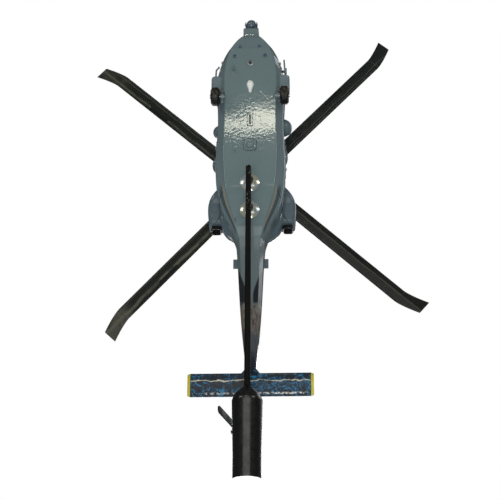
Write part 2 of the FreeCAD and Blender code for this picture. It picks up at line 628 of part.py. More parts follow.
def build_main_gear(hull):
    """Stub fairing, trailing leg, axle, rim and tyre each side."""
    wx, wy, wz = dim("main_x"), dim("main_y"), dim("main_z")
    axle_rad, rim_rad, rad, wide = dim("axle_rad"), dim("rim_rad"), dim("tyre_rad"), dim("tyre_width")
    fairings, legs, axles = [], [], []
    for side, sign in SIDES:
        edge = sorted((sign * 22.0, sign * 36.5))
        stub = box("gear_stub_" + side, (55.0, edge[0], -75.0), (72.4, edge[1], -66.0))
        stub = rounded("gear_stub_upright_" + side, stub, 3.2,
                       lambda e: abs(e.tangentAt(0).z) > 0.9 and abs(e.CenterOfMass.y) > 36.0)
        stub = rounded("gear_stub_soft_" + side, stub, 1.8, lambda e:
                       abs(e.tangentAt(e.FirstParameter).x) > 0.99 and abs(e.CenterOfMass.y) > 36.0)
        fairings.append(cut("gear_fairing_" + side, stub, hull))
        leg_y = dim("leg_y") * sign
        top = (wx, leg_y, -72.0)
        pieces = [bar("leg_beam_" + side, dim("leg_rad"), (wx, leg_y, wz), (61.5, sign * 26.0, -72.0)),
                  bar("leg_oleo_" + side, dim("leg_rad") * 0.86, (wx, leg_y, wz), top),
                  bar("leg_sleeve_" + side, dim("leg_rad"), (wx, leg_y, -80.5), top),
                  cylinder("leg_lug_" + side, 2.3, 3.4, (wx, leg_y - 1.7, wz), Y)]
        axle = turned("axle_" + side,
                      [(0, 0), (axle_rad, 0), (axle_rad, 12.3), (2.1, 12.3), (2.1, 13.1), (0, 13.1)],
                      (wx, sign * 23.4, wz), Y * sign)
        axles.append(axle)
        whole = fuse("leg_whole_" + side, pieces)
        legs.append(cut_all("gear_leg_" + side, whole, [hull, fairings[-1], axle]))
        spot = (wx, (wy - wide * 0.5) * sign, wz)
        bore = axle_rad + dim("run_gap")
        turned("rim_" + side,
               [(bore, 0.2), (2.2, 0.2), (2.2, 1.4), (3.8, 1.0), (rim_rad, 1.0), (rim_rad, wide - 1.0),
                (3.8, wide - 1.0), (2.2, wide - 1.6), (2.2, wide - 0.2), (bore, wide - 0.2)],
               spot, Y * sign)
        turned("tyre_" + side,
               [(rim_rad, 0.7), (rad - 2.2, 0), (rad, 1.5), (rad, wide - 1.5), (rad - 2.2, wide),
                (rim_rad, wide - 0.7)],
               spot, Y * sign, rounds=((1.2, rad, 1.5), (1.2, rad, wide - 1.5)))
    group("main_gear_legs", legs)
    return fairings, axles


def build_tail_wheel(boom, main_axles):
    """A small wheel on a one-sided leg under the boom."""
    tx, tz = dim("tailwheel_x"), dim("tailwheel_z")
    wide, rad, bore = dim("tailtyre_width"), dim("tailtyre_rad"), 0.8 + num("run_gap")
    leg = box("tail_leg_blade", (tx - 1.9, -3.3, tz - 1.9), (tx + 1.9, -2.1, tz + 7))
    bridge = box("tail_leg_bridge", (tx - 1.9, -3.3, tz + 5.7), (tx + 1.9, 1.0, tz + 7.6))
    post = bar("tail_leg_post", 1.6, (tx, -0.9, tz + 6.6), (tx + 3.5, 0, -57.0))
    axle = turned("axle_tail", [(0, 0), (0.8, 0), (0.8, 5.4), (1.3, 5.4), (1.3, 5.9), (0, 5.9)],
                  (tx, -3.3, tz), Y)
    cut_all("tail_gear_leg", fuse("tail_leg_whole", [leg, post, bridge]), [boom, axle])
    spot = (tx, -1.7, tz)
    turned("tail_rim", [(bore, 0.1), (2.6, 0.1), (2.6, wide - 0.1), (bore, wide - 0.1)], spot, Y)
    turned("tail_tyre",
           [(2.6, 0), (rad - 0.9, 0), (rad, 0.8), (rad, wide - 0.8), (rad - 0.9, wide), (2.6, wide)], spot, Y)
    group("wheel_axles", main_axles + [axle])


def build_support(hull, shell):
    """The arm that holds the model up: tube, rod, two prongs with domed washers, and blocks in the floor."""
    tube, rad, wide = dim("tube_len"), dim("tube_rad"), dim("tube_front_rad")
    rear_rod, front_rod = dim("rod_rear_rad"), dim("rod_front_rad")
    tip, socket = tube + dim("neck_len"), tube - 12.0
    start = -dim("datum_x")
    axis_z = -dim("datum_z")
    turned("support_tube",
           [(0, 0), (rad, 0), (rad, dim("grip_len")), (wide, tube - 3.0), (wide - 2.0, tube + 2.0),
            (wide - 6.0, tip - 3.0), (rear_rod + 0.4, tip), (rear_rod, tip), (rear_rod, socket), (0, socket)],
           (start, 0, axis_z), X, rounds=((5.0, wide, tube - 3.0),))
    length = dim("rod_front_x") - start - socket
    rod = turned("rod_blank",
                 [(0, 0), (rear_rod, 0), (rear_rod, tip - socket), (front_rod, length), (0, length)],
                 (start + socket, 0, axis_z), X, rounds=((2.2, front_rod, length),))
    low, rise, pin = dim("belly_z"), dim("washer_rise"), dim("prong_rad")
    collar = dim("prong_collar_rad")
    under = low - rise - axis_z
    washers, prongs, blocks = [], [], []
    for i, station in enumerate(("front_prong_x", "rear_prong_x")):
        x = dim(station)
        prong = turned("prong%d" % i,
                       [(0, 0), (1.5, 0), (1.5, under - 2.6), (collar, under - 2.6), (collar, under),
                        (pin, under), (pin, under + 7.4), (0, under + 7.4)], (x, 0, axis_z))
        prongs.append(prong)
        dome_rad = dim("washer_dome_rad")
        dome = ball("washer_dome%d" % i, dome_rad, (x, 0, low - rise + dome_rad))
        rim = cylinder("washer_rim%d" % i, dim("washer_rad"), rise + 0.3, (x, 0, low - rise))
        washers.append(cut_all("washer%d" % i, common("washer_blank%d" % i, dome, rim), [prong, hull]))
        block = box("block_blank%d" % i, (x - 5, -6, low + dim("wall")), (x + 5, 6, low + dim("wall") + 7))
        blocks.append(cut_all("block%d" % i, block, [prong, shell]))
    cut_all("support_rod", rod, prongs)
    group("mount_prongs", prongs)
    group("mount_washers", washers)
    group("mount_blocks", blocks)


def build_main_rotor():
    """Mast, hub, cap, four swept-tip blades in their cuffs, and the cuff bolts."""
    mast, foot, thick, arm = dim("mast_rad"), dim("mast_foot_z"), dim("hub_thick"), dim("arm_width")
    bore = mast + dim("run_gap")
    turned("mast_bearing", [(bore, 0), (4.0, 0), (4.0, 17.2), (5.4, 17.2), (5.4, 18.4), (bore, 18.4)],
           (0, 0, foot - 1.0))
    turned("rotor_mast", [(0, 0), (mast, 0), (mast, 19.5), (3.2, 19.5), (3.2, 21.0), (mast, 21.0),
                          (mast, 33.5), (0, 33.5)], (0, 0, foot))
    core = cylinder("hub_core", dim("hub_rad"), thick, (0, 0, thick * -0.5))
    arms, cuffs, bolts = [], [], []

    def on_arm(kind, name, sizes, start, lean):
        """A Part primitive standing on a leaning arm, its sizes given by property name."""
        obj = DOC.addObject(kind, name)
        for prop, size in sizes.items():
            bind(obj, prop, size)
        base = lean.multVec(Vector(*[float(v) for v in start]))
        return place(obj, base.x, base.y, base.z, lean)

    for i in range(1, 5):
        lean = Rotation(Z, 90.0 * i - 45.0 + num("rotor_turn")) * Rotation(Y, -num("coning"))
        sizes = {"Length": 17.0, "Width": arm * 0.62, "Height": thick * 0.7}
        beam = on_arm("Part::Box", "hub_arm%d" % i, sizes, (0, arm * -0.31, thick * -0.35), lean)
        blade = place(feature("rotor_blade_%d" % i, blade_solid()), 0, 0, 0, lean)
        sleeve = on_arm("Part::Box", "cuff_sleeve%d" % i, {"Length": 21.0, "Width": arm, "Height": thick},
                        (11.0, arm * -0.5 - 1.0, thick * -0.5), lean)
        soft = rounded("cuff_soft%d" % i, sleeve, 1.5, lambda e: abs(e.Length - 21.0) < 1e-6)
        bolt = on_arm("Part::Cylinder", "cuff_bolt%d" % i, {"Radius": 0.9, "Height": thick + 1.6},
                      (14.2, 0, thick * -0.5 - 0.8), lean)
        arms.append(beam)
        bolts.append(bolt)
        cuffs.append(cut_all("cuff%d" % i, soft, [beam, blade, bolt]))
    shaft_hole = cylinder("hub_bore", mast, 12, (0, 0, -6))
    cut_all("rotor_hub", fuse("hub_whole", [core] + arms), [shaft_hole] + bolts)
    group("blade_cuffs", cuffs)
    group("cuff_bolts", bolts)
    turned("rotor_cap", [(0, 1.0), (mast, 1.0), (mast, 0), (5.8, 0), (5.2, 1.6), (3.0, 2.8), (0, 3.0)],
           (0, 0, thick * 0.5))


def blade_solid():
    """One blade along +X, leading edge to +Y: tapered root, constant chord, then a tip that curves back."""
    front, back, thick = num("blade_front"), num("blade_back"), num("blade_thick")
    root, bend, tip, sweep = num("blade_root"), num("blade_bend"), num("blade_tip"), num("tip_sweep")
    reach = tip - bend
    root_rows = [(root, 0.6 * front, 0.55 * back, 1.0), (root + 6, 0.7 * front, 0.64 * back, 1.0),
                 (root + 12, 0.92 * front, 0.92 * back, 1.0), (root + 16, front, back, 1.0)]
    tip_rows = []
    for share in (0.0, 0.2, 0.4, 0.6, 0.8, 1.0):
        slip = sweep * share ** 1.4
        tip_rows.append((bend + reach * share, front - slip, back + slip, 1.0 - 0.2 * share))
    root_wires, tip_wires = [
        [wing_wire(lead, -trail, thick * slim, 0, lambda a, b, s=s: Vector(s, a, b), 0.22)
         for s, lead, trail, slim in rows] for rows in (root_rows, tip_rows)]
    straight = Part.makeLoft([root_wires[-1], tip_wires[0]], True, True)
    ends = [Part.makeLoft(wires, True, False) for wires in (root_wires, tip_wires)]
    return straight.fuse(ends).removeSplitter()


def build_tail_rotor(fin):
    """Gearbox on the fin, a shaft through it, and two crossed two-blade beams under a small cap."""
    rad, turn = dim("tail_shaft_rad"), tail_turn()
    bore = rad + dim("run_gap")
    gearbox = turned("gearbox_blank", [(bore, 0), (4.2, 0), (3.4, 3.0), (2.4, 9.6), (bore, 9.6)],
                     tail_spot(-12.6), turn)
    cut("tail_gearbox", gearbox, fin)
    turned("tail_shaft", [(0, 0), (rad, 0), (rad, 10.2), (2.2, 10.2), (2.2, 11.0), (rad, 11.0),
                          (rad, 16.4), (0, 16.4)], tail_spot(-12.8), turn)
    thick, chord, reach = dim("tail_thick"), dim("tail_chord"), dim("tail_rad")
    hub = Vector(*[float(s) for s in tail_spot(0)]) + Vector(num("datum_x"), 0, num("datum_z"))
    edge = -0.5 * chord
    half = [(-reach, edge), (-8, edge), (-4, -2.4), (4, -2.4), (8, edge), (reach, edge)]
    outline = half + [(-1.0 * a, -1.0 * b) for a, b in half]
    for i, name in enumerate(("tail_blades_inner", "tail_blades_outer")):
        spin = turn * Rotation(Z, num("tail_phase") + 90.0 * i)
        level = -1.6 + i * num("tail_thick")
        blank = plate(name + "_blank", "XY_Plane", outline, thick, tail_spot(level), spin)
        soft = rounded(name + "_soft", blank, 2.4, lambda e: e.Length < num("tail_thick") + 0.01
                       and (e.CenterOfMass - hub).Length > num("tail_rad") - 1.0)
        cut(name, soft, place_cylinder(name + "_bore", rad, 8.0, tail_spot(-4.0), turn))
    turned("tail_cap", [(0, 2.9), (rad, 2.9), (rad, 0), (2.6, 0), (2.6, 1.6), (1.7, 2.4), (1.7, 5.0),
                        (0, 5.6)], tail_spot(0.8), turn)


NODES = [
    "fuselage_left", "fuselage_right", "windscreens", "side_windows", "cabin_door_left",
    "cabin_door_right", "rotor_cowling", "engine_cowl_left", "engine_cowl_right",
    "exhaust_fairing_left", "exhaust_fairing_right", "exhaust_ducts", "tail_boom", "tail_pylon",
    "boom_tabs", "stabilator", "stabilator_tips", "turret_mount", "turret_yoke", "turret_ball",
    "landing_lamp", "belly_dome", "slot_frame", "belly_hatch", "belly_antennas", "nose_probes",
    "front_pods", "aft_pods", "gear_fairing_left", "gear_fairing_right", "main_gear_legs",
    "wheel_axles", "rim_left", "rim_right", "tyre_left", "tyre_right", "tail_gear_leg", "tail_rim",
    "tail_tyre", "support_tube", "support_rod", "mount_prongs", "mount_washers", "mount_blocks",
    "mast_bearing", "rotor_mast", "rotor_hub", "blade_cuffs", "cuff_bolts", "rotor_cap",
    "rotor_blade_1", "rotor_blade_2", "rotor_blade_3", "rotor_blade_4", "tail_gearbox", "tail_shaft",
    "tail_blades_inner", "tail_blades_outer", "tail_cap",
]


def check_and_write():
    """Stop on any failed object, then write one STEP file for each sub-part."""
    DOC.recompute()
    failed = [o.Name for o in DOC.Objects if "Invalid" in o.State or "Error" in o.State]
    if failed:
        raise RuntimeError("failed objects: %s" % ", ".join(failed))
    os.makedirs("parts", exist_ok=True)
    for name in NODES:
        obj = DOC.getObject(name)
        shape = obj.Shape
        if shape.isNull() or not shape.isValid() or not shape.Solids:
            raise RuntimeError("bad shape: " + name)
        obj.Label = name
        shape.exportStep("parts/%s.step" % name)
        print("%-22s solids %d volume %.1f" % (name, len(shape.Solids), shape.Volume))


fill_sheet()
hull, hull_shell = build_fuselage()
doors, door_windows = build_doors(hull)
build_glazing(hull, door_windows)
cowling, cowls = build_cowlings(hull)
build_exhausts(hull, cowls)
boom_outer, fin = build_tail(hull)
build_stabilator(boom_outer)
build_nose(hull)
build_belly(hull, hull_shell)
fairings, main_axles = build_main_gear(hull)
build_side_fittings(hull, doors, fairings)
build_tail_wheel(boom_outer, main_axles)
build_support(hull, hull_shell)
build_main_rotor()
build_tail_rotor(fin)
check_and_write()
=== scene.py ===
"""Looks of the helicopter desk model: its paints, the small fittings, the studio and the camera.

Fittings are placed by helicopter stations in millimetres from the rotor hub: +X forward, +Y port, +Z up.
"""

import json
import math

import bpy
from mathutils import Matrix, Vector
from mathutils.bvhtree import BVHTree


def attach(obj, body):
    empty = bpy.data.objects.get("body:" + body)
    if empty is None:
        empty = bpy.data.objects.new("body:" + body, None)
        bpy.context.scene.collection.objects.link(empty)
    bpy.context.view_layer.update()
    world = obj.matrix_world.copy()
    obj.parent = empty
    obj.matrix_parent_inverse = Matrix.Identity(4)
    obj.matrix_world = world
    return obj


DATUM = Vector((314.5, 0.0, 101.0))
UP, DOWN = Vector((0, 0, 1)), Vector((0, 0, -1))
SIDES = (("left", 1), ("right", -1))
BELLY = -79.0
WHEEL = Vector((42.5, 31.6, -85.5))
TAIL_WHEEL = Vector((-166.0, -0.1, -88.0))
TURRET = Vector((138.0, 0.0, -62.4))
TAIL_HUB = Vector((-246.0, -14.0, 4.0))
INTAKE = (18.0, -27.8)
BLADE_TURN, BLADE_CONE = -47.2, -1.3
SHARP = math.radians(40.0)
FLOOR_Z, FLOOR_HALF, GLINT_Z = -1.25, 30.0, -0.955

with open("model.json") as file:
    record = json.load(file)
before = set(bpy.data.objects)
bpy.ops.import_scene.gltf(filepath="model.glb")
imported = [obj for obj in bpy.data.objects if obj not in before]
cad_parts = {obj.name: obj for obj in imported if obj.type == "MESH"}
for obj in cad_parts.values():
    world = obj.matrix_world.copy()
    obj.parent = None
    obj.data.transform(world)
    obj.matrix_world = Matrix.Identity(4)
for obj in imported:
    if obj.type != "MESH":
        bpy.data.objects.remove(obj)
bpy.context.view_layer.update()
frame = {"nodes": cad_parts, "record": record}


# ---------------- finishes

def screen(r, g, b):
    """A screen colour, 0 to 255, as the linear colour that a shader takes."""
    return tuple(((v / 255 + 0.055) / 1.055) ** 2.4 for v in (r, g, b)) + (1.0,)


def clean_tree(owner):
    """The emptied node tree of a material or world."""
    owner.use_nodes = True
    owner.node_tree.nodes.clear()
    return owner.node_tree


def feed(tree, socket, value):
    if isinstance(value, bpy.types.NodeSocket):
        tree.links.new(value, socket)
    else:
        socket.default_value = value


def add_node(tree, kind, inputs=(), **settings):
    made = tree.nodes.new("ShaderNode" + kind)
    for key, value in settings.items():
        setattr(made, key, value)
    for key, value in dict(inputs).items():
        feed(tree, made.inputs[key], value)
    return made


class Finish:
    """A procedural material whose colour, gloss and relief vary by noise and by helicopter station."""

    def __init__(self, name, coat=(0.0, 0.03), **constants):
        self.name = name
        self.material = bpy.data.materials.new(name)
        self.tree = clean_tree(self.material)
        constants.update(Coat_Weight=coat[0], Coat_Roughness=coat[1])
        self.shader = self.node("BsdfPrincipled",
                                {key.replace("_", " "): value for key, value in constants.items()})
        self.node("OutputMaterial", {"Surface": self.shader.outputs[0]})
        place = self.node("TexCoord").outputs["Object"]
        self.spot = self.node("VectorMath", {0: place, 1: (1000.0,) * 3, 2: tuple(-DATUM)},
                              operation="MULTIPLY_ADD").outputs[0]
        self.x, self.y, self.z = self.node("SeparateXYZ", {0: self.spot}).outputs
        self.normal = None

    def node(self, kind, inputs=(), **settings):
        return add_node(self.tree, kind, inputs, **settings)

    def math(self, operation, *values):
        return self.node("Math", dict(enumerate(values)), operation=operation).outputs[0]

    def both(self, a, b):
        """The product of two masks."""
        return self.math("MULTIPLY", a, b)

    def step(self, value, start, end, low=0.0, high=1.0):
        """A smooth rise from low to high as the value goes from start to end."""
        inputs = {"Value": value, "From Min": start, "From Max": end, "To Min": low, "To Max": high}
        return self.node("MapRange", inputs, interpolation_type="SMOOTHSTEP").outputs[0]

    def band(self, value, low, high, soft):
        rise = self.step(value, low - soft, low + soft)
        return self.both(rise, self.step(value, high + soft, high - soft))

    def noise(self, size, detail=3.0, roughness=0.55, distortion=0.0, stretch=(1, 1, 1)):
        """Noise whose features are about this many millimetres across."""
        vector = self.node("VectorMath", {0: self.spot, 1: stretch}, operation="MULTIPLY").outputs[0]
        inputs = {"Vector": vector, "Scale": 1.0 / size, "Detail": detail, "Roughness": roughness,
                  "Distortion": distortion}
        return self.node("TexNoise", inputs).outputs[0]

    def mix(self, share, a, b):
        return self.node("Mix", {0: share, 6: a, 7: b}, data_type="RGBA").outputs[2]

    def over(self, base, share, *tint):
        """The base with a screen colour laid over it by this share."""
        return self.mix(share, base, screen(*tint))

    def stroke(self, start, end, width, soft):
        """A mask along a line on the belly between two (x, y) stations."""
        run = Vector(end) - Vector(start)
        along, across = run.normalized(), run.normalized().orthogonal()
        u, v = [self.math("ADD", self.both(self.math("SUBTRACT", self.x, start[0]), way[0]),
                          self.both(self.math("SUBTRACT", self.y, start[1]), way[1]))
                for way in (along, across)]
        line = self.band(v, -width / 2, width / 2, soft)
        return self.both(line, self.band(u, 0.0, run.length, soft * 3))

    def relief(self, height, depth):
        """Adds bumps of about this depth in millimetres on top of what is there."""
        inputs = {"Strength": 1.0, "Distance": depth / 1000.0, "Height": height}
        if self.normal is not None:
            inputs["Normal"] = self.normal
        self.normal = self.node("Bump", inputs).outputs[0]
        for name in ("Normal", "Coat Normal"):
            feed(self.tree, self.shader.inputs[name], self.normal)

    def color(self, value):
        feed(self.tree, self.shader.inputs["Base Color"], value)

    def gloss(self, value):
        feed(self.tree, self.shader.inputs["Roughness"], value)

    def uneven_gloss(self, size, low, high):
        """A roughness that wanders from low to high in patches of this size."""
        self.gloss(self.step(self.noise(size, 3), 0.3, 0.7, low, high))


def hull_grey():
    paint = Finish("hull_grey", coat=(0.8, 0.06), Specular_IOR_Level=0.04)
    base = paint.mix(paint.noise(34, 2), screen(99, 119, 123), screen(108, 127, 129))
    # Painted shade: the sides turn darker and bluer from z -70 up to -56.
    base = paint.over(base, paint.step(paint.z, -70.0, -56.0, 0, 0.6), 76, 92, 106)
    base = paint.over(base, paint.step(paint.noise(3.2, 5), 0.56, 0.74, 0, 0.3), 82, 100, 106)
    low = paint.step(paint.z, -76.0, -78.4)
    flat = paint.both(low, paint.step(paint.x, 122, 100))
    scratch = paint.stroke((51.9, 9.3), (41.4, 17.8), 0.7, 0.3)
    worn = paint.step(paint.noise(2.4, 2), 0.42, 0.58)
    base = paint.over(base, paint.both(paint.both(scratch, worn), flat), 225, 226, 214)
    # Two faint pale beige streaks across the flat belly, one each side of the front prong collar.
    for x, y in ((-46.8, -12.2), (-46.0, 18.9)):
        pale_streak = paint.both(paint.stroke((x, y - 4.0), (x, y + 4.0), 1.2, 0.9), 0.25)
        base = paint.over(base, paint.both(pale_streak, flat), 186, 186, 168)
    # Painted light: the steep bilge band along the chine is lightened, as if lit from below.
    chine_painted_light = paint.band(paint.z, -77.6, -70.5, 1.2)
    base = paint.over(base, paint.both(chine_painted_light, 0.5), 118, 134, 142)
    rear = paint.step(paint.x, -40.0, -50.0)
    rear = paint.both(rear, paint.step(paint.math("ABSOLUTE", paint.y), 11.5, 13.0))
    # Painted reflection: a beige streak along the aft chine edge, broken by noise, with a dark line just
    # above it.
    dark = paint.both(paint.band(paint.z, -75.4, -72.2, 0.4), rear)
    base = paint.over(base, paint.both(dark, 0.6), 34, 44, 50)
    tan_painted_reflection = paint.both(paint.band(paint.z, -77.6, -75.8, 0.4), rear)
    tan_painted_reflection = paint.both(tan_painted_reflection, paint.step(paint.noise(6, 3), 0.3, 0.5))
    base = paint.over(base, tan_painted_reflection, 142, 138, 124)
    paint.color(base)
    paint.uneven_gloss(7, 0.36, 0.5)
    paint.relief(paint.noise(2.6, 1, 0.5), 0.036)
    paint.relief(paint.noise(22, 1, 0.5), 0.05)
    return paint


def boom_paint():
    paint = Finish("boom_paint", coat=(0.7, 0.08), Specular_IOR_Level=0.2)
    wave = paint.step(paint.noise(11, 3, 0.6, 0.6), 0.2, 0.8, -5, 5)
    along = paint.math("ADD", paint.x, wave)
    base = paint.mix(paint.noise(20, 2), screen(94, 112, 116), screen(104, 119, 121))
    streaks = paint.noise(3.0, 5, 0.7, 1.0, (0.35, 1.4, 1.4))
    brown = paint.mix(paint.step(streaks, 0.36, 0.62), screen(62, 52, 50), screen(128, 116, 104))
    base = paint.mix(paint.step(along, -146.0, -158.0, 0, 0.85), base, brown)
    base = paint.over(base, paint.step(along, -172.0, -184.0), 72, 78, 84)
    base = paint.over(base, paint.step(along, -190.0, -202.0), 16, 24, 44)
    out = paint.math("ABSOLUTE", paint.y)
    edge = paint.step(paint.math("SUBTRACT", out, paint.step(paint.x, -122.0, -146.0, 9.2, 2.6)), -0.8, 0.8)
    swoosh = paint.both(edge, paint.band(paint.x, -152.0, -123.0, 1.6))
    base = paint.over(base, paint.both(swoosh, paint.step(paint.z, -38.0, -42.0)), 22, 28, 36)
    paint.color(base)
    paint.uneven_gloss(7, 0.34, 0.5)
    paint.relief(paint.noise(2.6, 1, 0.5), 0.08)
    return paint


def fin_paint():
    paint = Finish("fin_paint", coat=(0.4, 0.06), Specular_IOR_Level=0.3)
    base = paint.mix(paint.noise(16, 3), screen(10, 15, 26), screen(18, 28, 44))
    swirl = paint.math("ABSOLUTE", paint.math("SUBTRACT", paint.noise(13, 4, 0.6, 1.2), 0.5))
    vein = paint.step(swirl, 0.02, 0.0)
    paint.color(paint.over(base, paint.both(vein, 0.45), 28, 84, 120))
    paint.uneven_gloss(6, 0.28, 0.42)
    paint.relief(paint.noise(3.0, 2, 0.5), 0.03)
    return paint


def stabilator_paint():
    paint = Finish("stabilator_paint", coat=(0.3, 0.06), Specular_IOR_Level=0.3)
    base = paint.mix(paint.noise(14, 3), screen(8, 14, 20), screen(15, 30, 46))
    for size, strength, tint in ((13.0, 0.95, (36, 132, 178)), (8.0, 0.7, (22, 92, 140))):
        swirl = paint.math("ABSOLUTE", paint.math("SUBTRACT", paint.noise(size, 3, 0.6, 1.8), 0.5))
        vein = paint.both(paint.step(swirl, 0.03, 0.008), paint.step(paint.noise(11, 3), 0.36, 0.5))
        base = paint.over(base, paint.both(vein, strength), *tint)
    # Painted highlight: a wavy pale reflection line across the tail plane, broken by noise.
    wave = paint.step(paint.noise(8, 3, 0.5), 0.2, 0.8, -1.3, 1.3)
    line = paint.band(paint.math("ADD", paint.x, wave), -218.3, -217.5, 0.35)
    line = paint.both(line, paint.step(paint.noise(4, 3), 0.3, 0.5, 0.25, 1))
    base = paint.over(base, line, 214, 212, 190)
    # Painted highlight: a dotted white glint line along the trailing edge, full on the port side, half as
    # strong to starboard.
    painted_glint_dots = paint.step(paint.noise(2.6, 3, 0.6), 0.46, 0.54)
    port = paint.band(paint.y, 5.0, 48.0, 1.0)
    starboard = paint.band(paint.y, -41.0, -11.0, 1.0)
    rear = paint.both(paint.band(paint.x, -229.8, -228.2, 0.3), painted_glint_dots)
    share = paint.math("ADD", port, paint.both(starboard, 0.5))
    base = paint.over(base, paint.both(rear, share), 226, 228, 224)
    paint.color(base)
    paint.uneven_gloss(6, 0.28, 0.4)
    paint.relief(paint.noise(2.8, 2, 0.5), 0.03)
    return paint


def plain(name, dark, light, rough, size=8.0, peel=0.02, **constants):
    """A paint, plastic or metal of one colour that still varies a little from place to place."""
    paint = Finish(name, **constants)
    paint.color(paint.mix(paint.step(paint.noise(size, 4), 0.3, 0.7), screen(*dark), screen(*light)))
    paint.uneven_gloss(size * 0.6, rough * 0.85, rough * 1.15)
    paint.relief(paint.noise(2.6, 2, 0.55), peel)
    return paint


def support_black(name, shine, rough):
    paint = Finish(name, Specular_IOR_Level=shine)
    base = paint.mix(paint.noise(14, 3), screen(10, 11, 10), screen(18, 19, 18))
    near = paint.math("ADD", paint.band(paint.x, -50, -37, 2), paint.band(paint.x, -82, -66, 3))
    specks = paint.step(paint.noise(1.5, 4, 0.7), 0.6, 0.66)
    base = paint.over(base, paint.both(near, specks), 182, 176, 160)
    flecks = paint.step(paint.noise(2.2, 4, 0.7), 0.6, 0.72, 0, 0.3)
    flecks = paint.both(flecks, paint.step(paint.x, -235.0, -215.0))
    base = paint.over(base, flecks, 58, 58, 50)
    paint.color(base)
    paint.uneven_gloss(5, rough * 0.85, rough * 1.15)
    paint.relief(paint.noise(6, 2, 0.5), 0.01)
    return paint


def blade_black(name, turn, lead, trail, streaks=(), tip=0.0):
    """Black blade plastic with painted light; v runs across the blade, lead and trail are the lit and
    shaded colours of its two halves, and a painted highlight streak is (v, width, edge, strength).
    """
    paint = Finish(name, Specular_IOR_Level=0.25)
    sine, cosine = math.sin(math.radians(turn)), math.cos(math.radians(turn))
    out = paint.math("ADD", paint.both(paint.x, cosine), paint.both(paint.y, sine))
    v = paint.math("SUBTRACT", paint.both(paint.y, cosine), paint.both(paint.x, sine))
    grain = paint.noise(9, 4, 0.55)
    # Painted light: the leading half in its lit colour, the trailing half in its shaded colour.
    base = paint.mix(paint.step(v, -5.6, -4.4), screen(*trail), screen(*lead))
    base = paint.over(base, paint.step(grain, 0.3, 0.75, 0, 0.3), 12, 15, 13)
    base = paint.over(base, paint.step(v, 2.2, 2.9), 14, 17, 15)
    # Painted highlight streaks, wandering along the blade.
    for middle, width, edge, strength in streaks:
        wander = paint.math("ADD", v, paint.step(paint.noise(24, 3), 0.2, 0.8, -0.9, 0.9))
        sheen_streak = paint.band(wander, middle - width / 2, middle + width / 2, edge)
        sheen_streak = paint.both(sheen_streak, paint.step(grain, 0.28, 0.6, 0.35, 1.0))
        base = paint.over(base, paint.both(sheen_streak, strength), 104, 104, 92)
    # A paler tip: partly wear, partly painted highlight.
    if tip:
        worn = paint.both(paint.step(out, 166.0, 184.0), paint.step(grain, 0.34, 0.56, 0.4, 1.0))
        base = paint.over(base, paint.both(worn, tip), 88, 88, 78)
    paint.color(base)
    paint.gloss(paint.step(paint.noise(9, 4), 0.35, 0.65, 0.3, 0.5))
    paint.relief(paint.noise(2.6, 3, 0.6), 0.014)
    return paint


def tyre_rubber():
    paint = Finish("tyre", Specular_IOR_Level=0.4)
    base = paint.mix(paint.noise(4, 4), screen(12, 13, 14), screen(22, 22, 23))
    tread = paint.both(paint.step(paint.z, -91.5, -93.4), paint.step(paint.noise(3, 3), 0.42, 0.6))
    paint.color(paint.over(base, paint.both(tread, 0.7), 84, 76, 60))
    paint.uneven_gloss(2.4, 0.42, 0.62)
    paint.relief(paint.noise(0.8, 3, 0.6), 0.03)
    return paint


def brushed(name, dark, light, rough):
    """Bare metal with a grain that runs one way."""
    metal = Finish(name, Metallic=1.0)
    grain = metal.noise(0.5, 3, 0.6, 0, (0.1, 1, 1))
    metal.color(metal.mix(grain, screen(*dark), screen(*light)))
    metal.gloss(metal.step(grain, 0.3, 0.7, rough * 0.7, rough * 1.3))
    metal.relief(grain, 0.006)
    return metal


def chrome():
    metal = Finish("chrome", Metallic=0.6)
    # Painted reflection: patches of beige and light blue in the chrome's colour stand for the room it
    # mirrors.
    tint = metal.step(metal.noise(7, 2), 0.4, 0.6)
    metal.color(metal.mix(tint, screen(214, 214, 196), screen(196, 210, 216)))
    metal.uneven_gloss(3, 0.14, 0.26)
    metal.relief(metal.noise(4, 2), 0.06)
    return metal


def wood():
    timber = Finish("block_wood")
    grain = timber.noise(1.6, 5, 0.6, 1.4, (0.12, 1, 1))
    timber.color(timber.mix(grain, screen(150, 112, 74), screen(190, 152, 108)))
    timber.gloss(timber.step(grain, 0.3, 0.7, 0.5, 0.7))
    timber.relief(grain, 0.05)
    return timber


def by_name(*finishes):
    return {finish.name: finish for finish in finishes}


FINISHES = by_name(
    hull_grey(), boom_paint(), fin_paint(), stabilator_paint(),
    plain("yellow", (188, 176, 36), (212, 199, 52), 0.36, coat=(0.5, 0.08)),
    plain("dark_glass", (10, 13, 17), (20, 25, 31), 0.08, 20, 0.006, coat=(0.5, 0.03)),
    plain("soot_black", (14, 14, 15), (34, 33, 33), 0.7, 4, 0.05, Specular_IOR_Level=0.3),
    plain("turret_grey", (72, 90, 102), (92, 110, 120), 0.32, 5, coat=(0.8, 0.06)),
    brushed("lamp_steel", (150, 156, 158), (214, 218, 216), 0.22),
    plain("white_cover", (226, 232, 226), (252, 254, 250), 0.4, 2.6, 0.04, coat=(0.4, 0.1)),
    plain("wheel_grey", (92, 104, 108), (122, 132, 134), 0.42, 3),
    tyre_rubber(),
    brushed("steel", (112, 114, 118), (176, 178, 180), 0.3),
    support_black("support_black", 0.9, 0.26), chrome(), wood(),
    blade_black("blade_black", 0.0, (15, 18, 18), (13, 16, 16)),
    plain("hub_black", (22, 24, 25), (40, 42, 43), 0.34, 4, 0.03, coat=(0.4, 0.1)))
